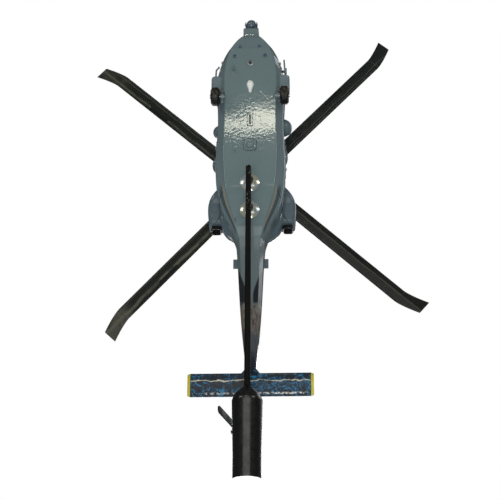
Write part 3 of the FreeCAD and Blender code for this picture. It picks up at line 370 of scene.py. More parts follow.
EXTRAS = by_name(
    plain("seam", (58, 70, 76), (76, 90, 95), 0.5, 6, 0.01),
    plain("dark_trim", (44, 58, 68), (60, 74, 84), 0.6, 4, 0.01, Specular_IOR_Level=0.1),
    plain("blue_trim", (44, 58, 86), (62, 78, 110), 0.4, 3, coat=(0.8, 0.06)),
    plain("slot_grey", (104, 110, 104), (128, 132, 122), 0.5, 3, 0.04),
    plain("beige", (150, 146, 130), (178, 172, 154), 0.5, 3, 0.04),
    plain("dark_knob", (20, 22, 24), (38, 40, 42), 0.25, 3, coat=(0.7, 0.06)),
    plain("strap_brown", (84, 66, 52), (118, 92, 70), 0.5, 3, 0.04),
    plain("blue_strut", (44, 66, 88), (66, 90, 112), 0.35, 3, coat=(0.6, 0.08)),
    plain("red_glass", (120, 16, 14), (168, 28, 22), 0.12, 3, 0.004, coat=(1.0, 0.03)),
    plain("clear_glass", (168, 176, 178), (206, 212, 212), 0.06, 3, 0.004, coat=(1.0, 0.03)))

# The material slot that a fitting in an extra finish belongs to.
EXTRA_SLOTS = dict.fromkeys(EXTRAS, "hull_grey") | {"red_glass": "dark_glass", "clear_glass": "dark_glass"}

# Each rotor blade's painted light and wear: its lit leading and shaded trailing colour, painted highlight
# streaks, and how pale its tip is, partly wear and partly painted highlight.
BLADES = (
    ((30, 34, 34), (26, 30, 31), ((-0.5, 0.5, 0.5, 0.7),), 0.0),
    ((50, 51, 49), (20, 24, 20), ((-4.5, 1.0, 0.8, 0.45),), 0.0),
    ((24, 28, 22), (22, 26, 20), ((-4.9, 2.4, 1.6, 0.9), (1.9, 0.3, 0.3, 0.4)), 0.75),
    ((26, 30, 24), (24, 28, 22), ((-6.4, 1.6, 1.2, 0.7), (0.4, 0.5, 0.4, 0.75)), 0.3),
)
# The blades get their painted light, and the support rod gets its real wear.
WEAR_AND_SHEEN = {"rotor_blade_%d" % i: blade_black("blade_%d" % i, 90.0 * i + BLADE_TURN, *wear)
          for i, wear in enumerate(BLADES, 1)}
WEAR_AND_SHEEN["support_rod"] = support_black("support_rod_black", 0.12, 0.5)

for part in frame["record"]["subparts"]:
    mesh = frame["nodes"][part["node"]].data
    finish = WEAR_AND_SHEEN.get(part["node"]) or FINISHES[part["material_slot"]]
    if not mesh.materials:
        mesh.materials.append(None)
    for index in range(len(mesh.materials)):
        mesh.materials[index] = finish.material


# ---------------- shape building

def place(name, data):
    """A new object in the scene."""
    made = bpy.data.objects.new(name, data)
    bpy.context.scene.collection.objects.link(made)
    return made


class Skin:
    """The outer faces of some CAD nodes, in stations, to lay fittings on."""

    def __init__(self, *names):
        points, faces = [], []
        for name in names:
            mesh = frame["nodes"][name].data
            faces += [[i + len(points) for i in p.vertices] for p in mesh.polygons]
            points += [v.co * 1000.0 - DATUM for v in mesh.vertices]
        self.tree = BVHTree.FromPolygons(points, faces)

    def at(self, point, aim):
        """Where a ray from the point meets the skin, and the way that the skin faces there."""
        aim = Vector(aim).normalized()
        place, normal, *_ = self.tree.ray_cast(Vector(point), aim)
        if place is None:
            return None
        return place, (normal if normal.dot(aim) < 0 else -normal)

    def follow(self, corners, aim, spacing=1.2, closed=False):
        """Points and facings along a line of corners that is dropped on to the skin."""
        corners = [Vector(c) for c in corners]
        if closed:
            corners.append(corners[0])
        found = []
        for a, b in zip(corners, corners[1:]):
            count = max(1, round((b - a).length / spacing))
            found += [self.at(a.lerp(b, i / count), aim) for i in range(count)]
        if not closed:
            found.append(self.at(corners[-1], aim))
        return [f for f in found if f]

    def hoop(self, centre, reach, start, end, count, sign=1):
        """Points and facings on an arc about a lengthwise axis, dropped inwards on to the skin."""
        centre, found = Vector(centre), []
        for i in range(count + 1):
            turn = math.radians(start + (end - start) * i / count)
            out = Vector((0, sign * math.cos(turn), math.sin(turn))) * reach
            found.append(self.at(centre + out, -out))
        return [f for f in found if f]


def around(count, shift=0.0):
    """The cosine and sine of evenly spaced turns."""
    turns = [math.tau * (i + shift) / count for i in range(count)]
    return [(math.cos(t), math.sin(t)) for t in turns]


class Shape:
    """A mesh being built, in stations."""

    def __init__(self):
        self.points, self.faces = [], []

    def rings(self, rings, closed=False):
        """Joins rings of equal length, one after the other, and caps the ends of an open run."""
        base, width = len(self.points), len(rings[0])
        for ring in rings:
            self.points += [Vector(p) for p in ring]
        count = len(rings)
        for i in range(count if closed else count - 1):
            a, b = base + i * width, base + (i + 1) % count * width
            for j in range(width):
                k = (j + 1) % width
                self.faces.append((a + j, a + k, b + k, b + j))
        if not closed:
            self.faces.append(tuple(base + j for j in reversed(range(width))))
            self.faces.append(tuple(base + (count - 1) * width + j for j in range(width)))
        return self

    def turned(self, profile, foot, axis, segments):
        """A lathe-turned piece: (radius, height) rows about an axis from its foot."""
        axis = Vector(axis).normalized()
        u = axis.orthogonal().normalized()
        v = axis.cross(u)
        return self.rings([[Vector(foot) + axis * height + (u * c + v * s) * max(radius, 0.01)
                            for c, s in around(segments)] for radius, height in profile])

    def stud(self, place, normal, radius, rise, segments=10):
        return self.turned([(radius, -0.1), (radius, rise * 0.35), (radius * 0.78, rise * 0.8),
                            (radius * 0.35, rise)], place, normal, segments)

    def studs(self, skin, spots, aim, radius, rise, segments=8):
        """A stud wherever a ray from a spot meets the skin."""
        for spot in spots:
            hit = skin.at(spot, aim)
            if hit:
                self.stud(*hit, radius, rise, segments)

    def pipe(self, path, radius, segments=12):
        """A round bar along a line of points, with softened ends."""
        path = [Vector(p) for p in path]
        rings = []
        side = None
        for i, here in enumerate(path):
            run = (path[min(i + 1, len(path) - 1)] - path[max(i - 1, 0)]).normalized()
            side = run.orthogonal() if side is None else side - run * side.dot(run)
            side = side.normalized()
            other = run.cross(side)
            rows = [(here, radius)]
            if i == 0:
                rows = [(here, radius * 0.55), (here + run * radius * 0.4, radius)]
            if i == len(path) - 1:
                rows = [(here - run * radius * 0.4, radius), (here, radius * 0.55)]
            for centre, size in rows:
                rings.append([centre + (side * c + other * s) * size for c, s in around(segments)])
        return self.rings(rings)

    def bead(self, line, width, rise, closed=False):
        """A low ridge along (point, facing) pairs."""
        if len(line) < 2:
            return self
        half = width / 2
        section = [(-half, -0.15), (-half, rise * 0.55), (-half * 0.6, rise), (half * 0.6, rise),
                   (half, rise * 0.55), (half, -0.15)]
        rings, count = [], len(line)
        for i, (here, normal) in enumerate(line):
            last = line[i - 1] if closed or i else line[0]
            after = line[(i + 1) % count] if closed or i < count - 1 else line[-1]
            run = (after[0] - last[0]).normalized()
            side = run.cross(normal).normalized()
            rings.append([here + side * a + normal * b for a, b in section])
        return self.rings(rings, closed)

    def slab(self, outline, origin, u, v, thick, soften):
        """A plate with a softened upper edge: (a, b) corners along u and v, raised along u x v."""
        origin, u, v = Vector(origin), Vector(u).normalized(), Vector(v).normalized()
        lift = u.cross(v)
        middle = sum((Vector(p) for p in outline), Vector((0, 0))) / len(outline)
        rings = []
        for height, inset in ((0.0, 0.0), (thick - soften, 0.0), (thick, soften)):
            ring = []
            for corner in outline:
                out = Vector(corner) - middle
                flat = middle + out * (1 - inset / max(out.length, 0.01))
                ring.append(origin + u * flat.x + v * flat.y + lift * height)
            rings.append(ring)
        return self.rings(rings)

    def make(self, name, finish, body="airframe", slot=None):
        """The finished piece, riding on its body."""
        mesh = bpy.data.meshes.new(name)
        mesh.from_pydata([(p + DATUM) / 1000.0 for p in self.points], [], self.faces)
        mesh.validate()
        piece = place(name, mesh)
        mesh.materials.append((EXTRAS.get(finish) or FINISHES[finish]).material)
        mesh.shade_smooth()
        mesh.set_sharp_from_angle(angle=SHARP)
        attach(piece, body)
        return piece


def round_box(x0, x1, y0, y1, corner, steps=5):
    """Corners of a rounded rectangle."""
    points = []
    for cx, cy, turn in ((x1 - corner, y1 - corner, 0), (x0 + corner, y1 - corner, 90),
                         (x0 + corner, y0 + corner, 180), (x1 - corner, y0 + corner, 270)):
        for i in range(steps + 1):
            angle = math.radians(turn + 90.0 * i / steps)
            points.append((cx + corner * math.cos(angle), cy + corner * math.sin(angle)))
    return points


def circle(x, y, radius, count=24):
    return [(x + radius * c, y + radius * s) for c, s in around(count)]


def knob(name, finish, profile, foot, axis, segments, body="airframe", slot=None):
    """One small lathe-turned fitting."""
    Shape().turned(profile, foot, axis, segments).make(name, finish, body, slot)


def spaced(start, end, gap):
    """Evenly spaced points from start to end."""
    start, end = Vector(start), Vector(end)
    count = max(1, round((end - start).length / gap))
    return [start.lerp(end, i / count) for i in range(count + 1)]


shell = ("fuselage_left", "fuselage_right")
doors = ("cabin_door_left", "cabin_door_right")
cowls = ("rotor_cowling", "engine_cowl_left", "engine_cowl_right", "exhaust_fairing_left",
         "exhaust_fairing_right")
hull = Skin(*shell, *doors, "windscreens", "side_windows")
flanks = Skin(*shell, *doors, *cowls, "front_pods", "aft_pods", "side_windows")
tops = Skin(*shell, *cowls, "windscreens")
belly = Skin(*shell, "belly_antennas")
boom = Skin("tail_boom")
fin = Skin("tail_pylon")
tail_plane = Skin("stabilator")


# ---------------- fittings under the belly

def belly_fittings():
    under = [(x, y, -95.0) for x, y in round_box(-11.2, 1.2, -6.1, 6.1, 2.6)]
    under = hull.follow(under, UP, 1.0, True)
    Shape().bead(under, 0.5, 0.16, True).make("hatch_frame", "seam")
    bolts = Shape()
    for x, y in ((-9.0, 3.9), (-9.0, -3.9), (-1.0, 3.9), (-1.0, -3.9)):
        bolts.stud((x, y, BELLY - 0.45), DOWN, 0.75, 0.4, 14)
    bolts.make("hatch_bolts", "steel")
    ring = [(Vector((x, y, -80.25)), DOWN) for x, y in circle(-5.0, 0, 2.6)]
    Shape().bead(ring, 0.5, 0.3, True).make("hatch_boss_ring", "hull_grey")

    liner = Shape().slab(round_box(16.3, 26.7, -1.1, 1.1, 0.4), (0, 0, BELLY + 0.02), (1, 0, 0), (0, -1, 0),
                         0.12, 0.05)
    for i in range(6):
        x = 17.6 + 1.56 * i
        liner.pipe([(x, -0.95, BELLY - 0.14), (x, 0.95, BELLY - 0.14)], 0.14, 8)
    liner.make("slot_liner", "slot_grey")
    lip = [(x, y, -95.0) for x, y in round_box(14.9, 28.1, -2.4, 2.4, 0.9, 3)]
    lip = hull.follow(lip, UP, 0.8, True)
    Shape().bead(lip, 0.8, 0.12, True).make("slot_outline", "dark_trim")

    knob("lamp_lens", "dark_glass", [(1.3, 0), (1.25, 0.2), (0.95, 0.42), (0.5, 0.56), (0.05, 0.6)],
         (82.5, 0, BELLY + 0.1), DOWN, 28, slot="lamp_steel")
    foot = Shape().slab(circle(0, 0, 1.0, 20), (0, 0, BELLY - 0.02), (1, 0, 0), (0, -1, 0), 0.3, 0.1)
    foot.points = [Vector((76.5 + p.x * 4.9, -15.6 + p.y * 1.5, p.z)) for p in foot.points]
    foot.make("antenna_foot", "hull_grey")
    studs = Shape()
    for x, y, radius in ((102.0, 8.4, 1.2), (101.6, -9.8, 1.2), (91.0, 13.8, 1.5), (90.6, -14.6, 1.5)):
        spot = belly.at((x, y, -95.0), UP)
        studs.turned([(radius, -0.3), (radius, 0.1), (radius * 0.7, 0.3), (radius * 0.2, 0.36)], *spot, 18)
    studs.make("nose_stud_caps", "blue_trim")
    # Bolt heads at the antenna foot, coloured pale beige as a painted highlight for their glints.
    pale_glint_heads = Shape()
    for x, y in ((71.9, -14.9), (71.9, -16.3)):
        pale_glint_heads.stud((x, y, BELLY - 0.2), DOWN, 0.6, 0.3, 14)
    pale_glint_heads.make("antenna_bolts_pale_glint", "beige")
    knob("probe_knob", "dark_knob", [(1.2, -0.3), (1.4, 0.4), (1.35, 1.2), (0.9, 1.6)],
         *hull.at((77.9, 29.8, -95.0), UP), 18)
    knob("probe_knob_ring", "white_cover", [(1.1, -0.2), (1.25, 0.1), (1.25, 0.4), (0.8, 0.6), (0.5, 0.4)],
         *hull.at((74.4, 29.2, -95.0), UP), 20)
    for side, sign in SIDES:
        step = Shape()
        for x, y in (((86.4, 27.4), (80.4, 28.4)) if sign > 0 else ((88.6, 26.6), (79.0, 27.6))):
            here, normal = hull.at((x, y * sign, -95.0), UP)
            top = here + normal * 0.8
            step.pipe([here + Vector((-1.6, 0, 0.3)), top - Vector((1, 0, 0)), top + Vector((1, 0, 0)),
                       here + Vector((1.6, 0, 0.3))], 0.5)
        step.make("boarding_steps_" + side, "beige")
        screws = Shape()
        spots = [(x, 34.2 * sign, -90) for x in (57.0, 63.5, 70.0)]
        screws.studs(Skin("gear_fairing_" + side), spots, UP, 0.42, 0.22, 12)
        screws.make("gear_fairing_screws_" + side, "steel")


# ---------------- wheels, gear and turret

def wheel_fittings():
    for side, sign in SIDES:
        body = "wheel_" + side
        centre = Vector((WHEEL.x, WHEEL.y * sign, WHEEL.z))
        out = Vector((0, sign, 0))
        tread = Shape()
        for shift in (-1.7, 0.0, 1.7):
            tread.turned([(8.35, -0.32), (8.56, -0.26), (8.56, 0.26), (8.35, 0.32)], centre + out * shift,
                         out, 48)
        tread.make("tread_ribs_" + side, "tyre", body)
        lips, nuts = Shape(), Shape()
        for way in (1, -1):
            lips.turned([(4.9, -0.3), (4.9, 0.25), (4.55, 0.45), (4.2, 0.25), (4.2, -0.3)],
                        centre + out * way * 3.1, out * way, 36)
            for c, s in around(6):
                spot = centre + out * way * 2.9 + Vector((c, 0, s)) * 3.1
                nuts.stud(spot, out * way, 0.42, 0.35)
        lips.make("rim_lips_" + side, "wheel_grey", body)
        nuts.make("wheel_nuts_" + side, "steel", body)
        gear = Shape()
        y = 25.3 * sign
        gear.pipe([(44.4, y, -84.0), (44.8, y, -79.0), (44.2, y + 0.3 * sign, -73.6)], 0.35)
        gear.pipe([(58.5, 26.0 * sign, -73.9), (51.0, 25.6 * sign, -79.6), (46.5, 25.4 * sign, -83.6)],
                  0.32)
        gear.make("brake_lines_" + side, "blue_strut")
        clamps = Shape()
        for share in (0.3, 0.62):
            a, b = Vector((WHEEL.x, y, WHEEL.z)), Vector((61.5, 26.0 * sign, -72.0))
            clamps.turned([(1.55, -0.7), (1.85, -0.55), (1.85, 0.55), (1.55, 0.7)], a.lerp(b, share),
                          b - a, 20)
        clamps.make("leg_clamps_" + side, "strap_brown")
    small = Shape()
    for way in (1, -1):
        small.turned([(2.7, -0.1), (2.7, 0.2), (2.3, 0.35), (1.4, 0.2), (1.1, 0.2)],
                     TAIL_WHEEL + Vector((0, 1.45 * way, 0)), (0, way, 0), 24)
    small.make("tail_rim_lips", "wheel_grey", "tail_wheel")
    ribs = Shape()
    for shift in (-0.7, 0.0, 0.7):
        ribs.turned([(4.92, -0.14), (5.04, -0.1), (5.04, 0.1), (4.92, 0.14)],
                    TAIL_WHEEL + Vector((0, shift, 0)), (0, 1, 0), 40)
    ribs.make("tail_tread_ribs", "tyre", "tail_wheel")
    knob("tail_leg_boot", "hub_black",
         [(1.9, 0), (2.1, 0.5), (1.8, 1.0), (2.1, 1.5), (1.8, 2.0), (2.05, 2.5), (1.7, 3.0)],
         (-164.6, -0.5, -72.5), (3.5, 0.9, 23.5), 20)


def turret_fittings():
    knob("turret_lens", "dark_glass", [(1.7, 0.0), (1.7, 0.4), (1.2, 0.75), (0.6, 0.9), (0.05, 0.95)],
         TURRET + Vector((3.4, 0, 0)), (1, 0, 0), 28, "turret_tilt")
    knob("turret_lens_ring", "turret_grey",
         [(1.95, 0.0), (2.25, 0.1), (2.3, 0.3), (2.05, 0.42), (1.85, 0.3), (1.85, 0.0)],
         TURRET + Vector((3.85, 0, 0)), (1, 0, 0), 28, "turret_tilt")
    seams = Shape()
    for tilt in (-38, 38):
        lean = Matrix.Rotation(math.radians(tilt), 3, "Y")
        ring = [lean @ Vector((c, s, 0)) for c, s in around(48)]
        ring = [(TURRET + out * 4.68, out) for out in ring if abs(out.y) < 0.93 and out.x < 0.8]
        seams.bead([p for p in ring if p[1].y > 0], 0.3, 0.09)
        seams.bead([p for p in ring if p[1].y < 0], 0.3, 0.09)
    seams.make("turret_ball_seams", "seam", "turret_tilt", "turret_grey")
    caps = Shape()
    for sign in (1, -1):
        caps.turned([(1.3, 0), (1.3, 0.25), (0.9, 0.5), (0.3, 0.55)], TURRET + Vector((0, sign * 5.72, 0)),
                    (0, sign, 0), 20)
    caps.make("yoke_caps", "turret_grey", "turret_pan")
    screws = Shape()
    for c, s in around(8, 0.5):
        screws.stud((TURRET.x + 4.9 * c, 4.9 * s, -57.33), DOWN, 0.3, 0.18)
    screws.make("yoke_screws", "steel", "turret_pan")
    mount = Skin("turret_mount")
    trim = Shape()
    for z in (-66.6, -53.4):
        for y in (12, -12):
            trim.bead(mount.follow([(117.0, y, z), (128.0, y, z)], (0, -y, 0)), 0.35, 0.1)
    trim.make("turret_mount_seams", "seam")
    bolts = Shape()
    for sign in (1, -1):
        spots = [(x, 12 * sign, z) for x in (119.0, 123.0, 127.0) for z in (-64.8, -55.2)]
        bolts.studs(mount, spots, (0, -sign, 0), 0.35, 0.16, 10)
    bolts.make("turret_mount_bolts", "steel")
    # Painted highlight: a bright steel strip along the mount's lower front edge.
    bar = mount.follow([(122.4, -5.8, -95.0), (122.4, 2.8, -95.0)], UP)
    Shape().bead(bar, 1.5, 0.25).make("turret_mount_highlight_bar", "lamp_steel", slot="hull_grey")


# ---------------- cabin, windows and cowlings

def cabin_fittings():
    frames, seams, rivets = Shape(), Shape(), Shape()
    for side, sign in SIDES:
        inward = (0, -sign, 0)
        y = 50.0 * sign
        for x0, x1, z0, z1, soft in ((60.0, 74.5, -61.0, -45.6, 1.2), (76.0, 90.0, -60.0, -45.6, 1.2),
                                     (-17.0, 1.0, -57.5, -47.5, 1.6)):
            line = [(x, y, z) for x, z in round_box(x0, x1, z0, z1, soft, 3)]
            frames.bead(hull.follow(line, inward, 1.0, True), 0.8, 0.22, True)
        for x0, x1, z0, z1 in ((57.6, 75.3, -67.5, -44.8), (28.0, 55.0, -67.0, -45.5),
                               (-52.0, -27.0, -66.0, -46.0)):
            line = [(x, y, z) for x, z in round_box(x0, x1, z0, z1, 1.5, 3)]
            seams.bead(flanks.follow(line, inward, 1.0, True), 0.3, 0.05, True)
        for z in (-68.4, -43.4):
            frames.bead(hull.follow([(-46.0, y, z), (9.0, y, z)], inward, 1.5), 0.7, 0.4)
        posts = [(x, y, z) for x in (-22.0, 6.0) for z in (-66.0, -61.0, -56.0, -51.0, -46.0)]
        rivets.studs(hull, posts, inward, 0.22, 0.1)
        for spot in spaced((60, y, -67.8), (-56, y, -67.8), 3.4):
            hit = hull.at(spot, inward)
            if hit and abs(hit[0].y) > 20:
                rivets.stud(*hit, 0.18, 0.08, 8)
        for x in (26.5, -25.5):
            rivets.studs(flanks, spaced((x, y, -65), (x, y, -47), 2.6), inward, 0.18, 0.08)
        handles = Shape()
        for x, z in ((3.6, -60.5), (58.6, -57.0), (-20.0, -60.5)):
            foot = hull.at((x, y, z), inward)[0]
            out, up = Vector((0, sign, 0)) * 0.9, Vector((0, 0, 3.4))
            handles.pipe([foot, foot + out, foot + out + up, foot + up], 0.3)
        handles.make("door_handles_" + side, "steel")
        knob("side_lamp_" + side, "red_glass" if sign > 0 else "clear_glass",
             [(1.2, -0.2), (1.2, 0.3), (0.8, 0.75), (0.2, 0.9)], *hull.at((47.0, y, -62.0), inward), 18)
        knob("fuel_cap_" + side, "hull_grey",
             [(2.4, -0.2), (2.4, 0.25), (2.0, 0.4), (0.9, 0.4), (0.7, 0.6), (0.1, 0.62)],
             *hull.at((-38.0, y, -60.0), inward), 24)
    frames.make("window_frames_and_rails", "hull_grey")
    seams.make("flank_panel_seams", "seam")
    rivets.make("flank_rivets", "hull_grey")

    panes, wipers = Shape(), Shape()
    for sign in (1, -1):
        line = [(x, sign * y, 0.0) for x, y in round_box(72.5, 93.5, 1.0, 17.6, 1.6, 3)]
        panes.bead(hull.follow(line, DOWN, 1.0, True), 0.9, 0.24, True)
        arm = hull.follow([(94.5, sign * 3.5, 0.0), (84.5, sign * 8.5, 0.0), (77.0, sign * 14.0, 0.0)],
                          DOWN, 2.0)
        wipers.pipe([p + n * 0.55 for p, n in arm], 0.24, 8)
        blade = hull.follow([(88.0, sign * 4.5, 0.0), (78.0, sign * 10.5, 0.0)], DOWN, 2.0)
        wipers.bead([(p + n * 0.2, n) for p, n in blade], 0.5, 0.3)
        wipers.stud(*hull.at((94.8, sign * 3.4, 0.0), DOWN), 0.8, 0.7, 14)
    panes.bead(hull.follow([(96.0, 0, 0.0), (70.0, 0, 0.0)], DOWN), 1.6, 0.3)
    panes.make("windscreen_frames", "hull_grey")
    wipers.make("windscreen_wipers", "hub_black")
    nose = Shape()
    for x in (100.0, 112.0):
        nose.bead(hull.hoop((x, 0, -60), 60, -20, 200, 32), 0.3, 0.05)
    nose.make("nose_seams", "seam")


def cowling_fittings():
    grilles, lips, screens, seams, latches, rivets = (Shape() for _ in range(6))
    for sign in (1, -1):
        inward = (0, -sign, 0)
        y, z = INTAKE[0] * sign, INTAKE[1]
        lips.turned([(4.6, -0.8), (4.75, 0.2), (5.1, 0.55), (5.5, 0.35), (5.6, -0.4)], (21.9, y, z),
                    (1, 0, 0), 40)
        for shift in (-3.0, -1.0, 1.0, 3.0):
            reach = math.sqrt(4.5 ** 2 - shift ** 2)
            screens.pipe([(18.6, y + shift, z - reach), (18.6, y + shift, z + reach)], 0.16, 6)
            screens.pipe([(18.3, y - reach, z + shift), (18.3, y + reach, z + shift)], 0.16, 6)
        for i in range(7):
            x = 4.0 - 2.1 * i
            line = flanks.follow([(x, 55 * sign, -34.0), (x - 1.0, 55 * sign, -25.0)], inward, 1.0)
            grilles.bead(line, 0.9, 0.4)
        for z in (-36.5, -23.2):
            seams.bead(flanks.follow([(20.0, 55 * sign, z), (-19.0, 55 * sign, z)], inward), 0.3, 0.05)
        for x in (9.0, -16.0):
            line = tops.follow([(x, sign * 12.5, 0.0), (x, sign * 27.0, 0.0)], DOWN)
            seams.bead(line, 0.3, 0.05)
        for x in (14.0, -4.0, -18.0):
            hit = flanks.at((x, 55 * sign, -36.5), inward)
            latches.turned([(0.8, -0.1), (0.8, 0.22), (0.5, 0.35), (0.1, 0.36)], *hit, 14)
        row = spaced((18.0, 55 * sign, -37.8), (-18.0, 55 * sign, -37.8), 2.8)
        rivets.studs(flanks, row, inward, 0.18, 0.08)
        row = spaced((-24.0, sign * 15.0, 0.0), (-60.0, sign * 15.0, 0.0), 3.0)
        rivets.studs(tops, row, DOWN, 0.18, 0.08)
    grilles.make("cowl_louvres", "hub_black")
    lips.make("intake_lips", "steel")
    screens.make("intake_screens", "steel")
    for x in (34.0, 20.0, -20.0, -38.0):
        seams.bead(tops.follow([(x, -11.0, 0.0), (x, 11.0, 0.0)], DOWN), 0.3, 0.05)
    seams.make("cowl_seams", "seam")
    latches.make("cowl_latches", "steel")
    rivets.make("cowl_rivets", "hull_grey")
    vents = Shape()
    for sign in (1, -1):
        for i in range(5):
            x = -44.0 - 2.2 * i
            vents.bead(tops.follow([(x, sign * 2.0, 0.0), (x, sign * 6.4, 0.0)], DOWN, 0.8), 0.9, 0.35)
    vents.make("rear_cowl_vents", "hub_black")
    knob("top_beacon", "red_glass",
         [(1.7, -0.2), (1.7, 0.5), (1.4, 0.6), (1.4, 1.5), (1.0, 2.1), (0.2, 2.3)],
         *tops.at((-30.0, 0, 10.0), DOWN), 22)


def exhaust_fittings():
    for side, sign in SIDES:
        fairing = Skin("exhaust_fairing_" + side)
        # Painted shade: a dark line along the fairing's crease.
        shade_along_crease = flanks.follow([(-50.0, 24.2 * sign, -80.0), (-68.0, 36.0 * sign, -80.0)], UP, 1.0)
        Shape().bead(shade_along_crease, 0.7, 0.12).make("exhaust_crease_" + side, "dark_knob")
        rivets = Shape()
        low = ((-58.0, 27.5), (-61.6, 28.6), (-61.8, 31.6), (-55.0, 26.6), (-50.0, 25.6))
        rivets.studs(fairing, [(x, y * sign, -80.0) for x, y in low], UP, 0.36, 0.2, 10)
        row = spaced((-26.0, 60 * sign, -31.0), (-62.0, 60 * sign, -30.0), 3.0)
        rivets.studs(fairing, row, (0, -sign, 0), 0.22, 0.1)
        rivets.make("exhaust_rivets_" + side, "lamp_steel")
        band = Shape()
        for x in (-40.0, -53.0):
            band.bead(fairing.hoop((x, 30 * sign, -31), 40, -105, 85, 28, sign), 0.35, 0.06)
        band.make("exhaust_seams_" + side, "seam")
        rim = [(Vector((-67.9, y * sign, z)), Vector((-1, 0, 0)))
               for y, z in round_box(28.9, 37.1, -35.3, -23.3, 2.4)]
        if sign < 0:
            rim.reverse()
        Shape().bead(rim, 0.9, 0.35, True).make("exhaust_rim_" + side, "dark_knob", slot="soot_black")
        vanes = Shape()
        for z in (-31.5, -29.3, -27.1):
            vanes.slab([(0, 0), (9, 0), (9, 6.0), (0, 6.0)], (-63.0, 29.8 * sign, z), (1, 0, 0),
                       (0, sign, 0), 0.3, 0.1)
        vanes.make("exhaust_vanes_" + side, "soot_black")


# ---------------- tail

def tail_fittings():
    spine = boom.follow([(-97.0, 0, 0), (-178.0, 0, 0)], DOWN, 2.0)
    Shape().bead(spine, 3.6, 1.3).make("drive_shaft_cover", "boom_paint")
    clips = Shape()
    for x in (-104.0, -120.0, -136.0, -152.0, -168.0):
        line = boom.follow([(x, -3.2, 0), (x, 3.2, 0)], DOWN, 0.8)
        lifted = [(p + n * (1.32 if abs(p.y) < 1.7 else 0.1), n) for p, n in line]
        clips.bead(lifted, 0.9, 0.16)
    clips.make("shaft_cover_straps", "seam", slot="boom_paint")
    seams, rivets = Shape(), Shape()
    for x, middle in ((-100.0, -58.0), (-122.0, -52.0), (-150.0, -47.0), (-180.0, -42.0), (-204.0, -40.0)):
        for sign in (1, -1):
            arc = boom.hoop((x, 0, middle), 40, -62, 70, 16, sign)
            seams.bead(arc, 0.3, 0.05)
            for here, normal in arc[2::3]:
                rivets.stud(here + Vector((1.2, 0, 0)), normal, 0.18, 0.07, 8)
    seams.make("boom_seams", "seam", slot="boom_paint")
    rivets.make("boom_rivets", "boom_paint")
    edge, rivets = Shape(), Shape()
    for sign in (1, -1):
        out = (0, -sign, 0)
        for x0, x1, top in ((-206.0, -246.0, 4), (-217.0, -252.0, 2)):
            edge.bead(fin.follow([(x0, 20 * sign, -34), (x1, 20 * sign, top)], out), 0.3, 0.05)
        row = spaced((-196.0, 20 * sign, -32), (-240.0, 20 * sign, 2), 3.2)
        rivets.studs(fin, row, out, 0.2, 0.08)
    edge.make("fin_seams", "hub_black", slot="fin_paint")
    rivets.make("fin_rivets", "fin_paint")
    knob("fin_light", "red_glass", [(0.9, -0.3), (0.9, -0.05), (0.6, 0.0), (0.2, 0.02)],
         *fin.at((-251.0, 0, 30.0), DOWN), 14, slot="fin_paint")
    under = Shape()
    for sign, gap in ((1, 2.0), (-1, 3.6)):
        row = spaced((-228.6, sign * 9.0, -80), (-228.6, sign * 49.0, -80), gap)
        under.studs(tail_plane, row, UP, 0.34, 0.18, 10)
    under.make("tail_plane_rivets", "lamp_steel", slot="stabilator_paint")
    ribs = Shape()
    for sign in (1, -1):
        for y in (17.0, 34.0):
            for z, aim in ((-80.0, UP), (-20.0, DOWN)):
                line = tail_plane.follow([(-213.0, sign * y, z), (-229.5, sign * y, z)], aim, 1.0)
                ribs.bead(line, 0.35, 0.05)
    ribs.make("tail_plane_seams", "fin_paint")
    cuffs = Shape()
    for sign in (1, -1):
        line = []
        for aim, z, order in ((UP, -80.0, 1), (DOWN, -20.0, -1)):
            run = [(-211.4 - 0.9 * i, sign * 50.9, z) for i in range(22)][::order]
            line += tail_plane.follow(run, aim, 1.0)
        cuffs.bead(line, 0.5, 0.1)
    cuffs.make("tail_plane_cap_seams", "hub_black", slot="stabilator_paint")


def tail_rotor_fittings():
    turn = Matrix.Rotation(math.radians(-8.0), 3, "Z") @ Matrix.Rotation(math.radians(70.0), 3, "X")
    axis = turn @ UP
    ribs = Shape()
    for out in (-11.4, -10.2, -9.0, -7.8, -6.6):
        radius = 4.2 - 0.16 * (out + 12.6) * 1.2
        rim = [(radius - 0.5, -0.25), (radius + 0.25, -0.2), (radius + 0.25, 0.2), (radius - 0.5, 0.25)]
        ribs.turned(rim, TAIL_HUB + axis * out, axis, 32)
    ribs.make("tail_gearbox_ribs", "fin_paint")
    straps, bolts, links = Shape(), Shape(), Shape()
    for i in range(2):
        spin = turn @ Matrix.Rotation(math.radians(-75.0 + 90.0 * i), 3, "Z")
        face, lift = ((-1.7, -1), (0.85, 1))[i]
        for way in (1, -1):
            origin = TAIL_HUB + spin @ Vector((6.0 * way, -2.4, face))
            u, v = spin @ Vector((way, 0, 0)), spin @ Vector((0, 1, 0))
            if (u.cross(v)).dot(axis) * lift < 0:
                origin = TAIL_HUB + spin @ Vector((6.0 * way, 2.4, face))
                v = -v
            straps.slab([(0, 0), (6.0, 0.5), (6.0, 4.3), (0, 4.8)], origin, u, v, 0.3, 0.1)
            for along, across in ((7.4, 1.1), (7.4, -1.1), (10.6, 0.0)):
                spot = TAIL_HUB + spin @ Vector((along * way, across, face + 0.25 * lift))
                bolts.stud(spot, axis * lift, 0.4, 0.3)
            start = TAIL_HUB + axis * 4.2 + spin @ Vector((1.6 * way, 0, 0))
            links.pipe([start, TAIL_HUB + axis * 2.3 + spin @ Vector((6.0 * way, 1.6, 0)),
                        TAIL_HUB + axis * 1.2 + spin @ Vector((8.0 * way, 2.2, 0))], 0.3, 10)
    straps.make("tail_blade_straps", "steel", "tail_rotor")
    bolts.make("tail_blade_bolts", "steel", "tail_rotor")
    links.make("tail_pitch_links", "steel", "tail_rotor")


# ---------------- main rotor

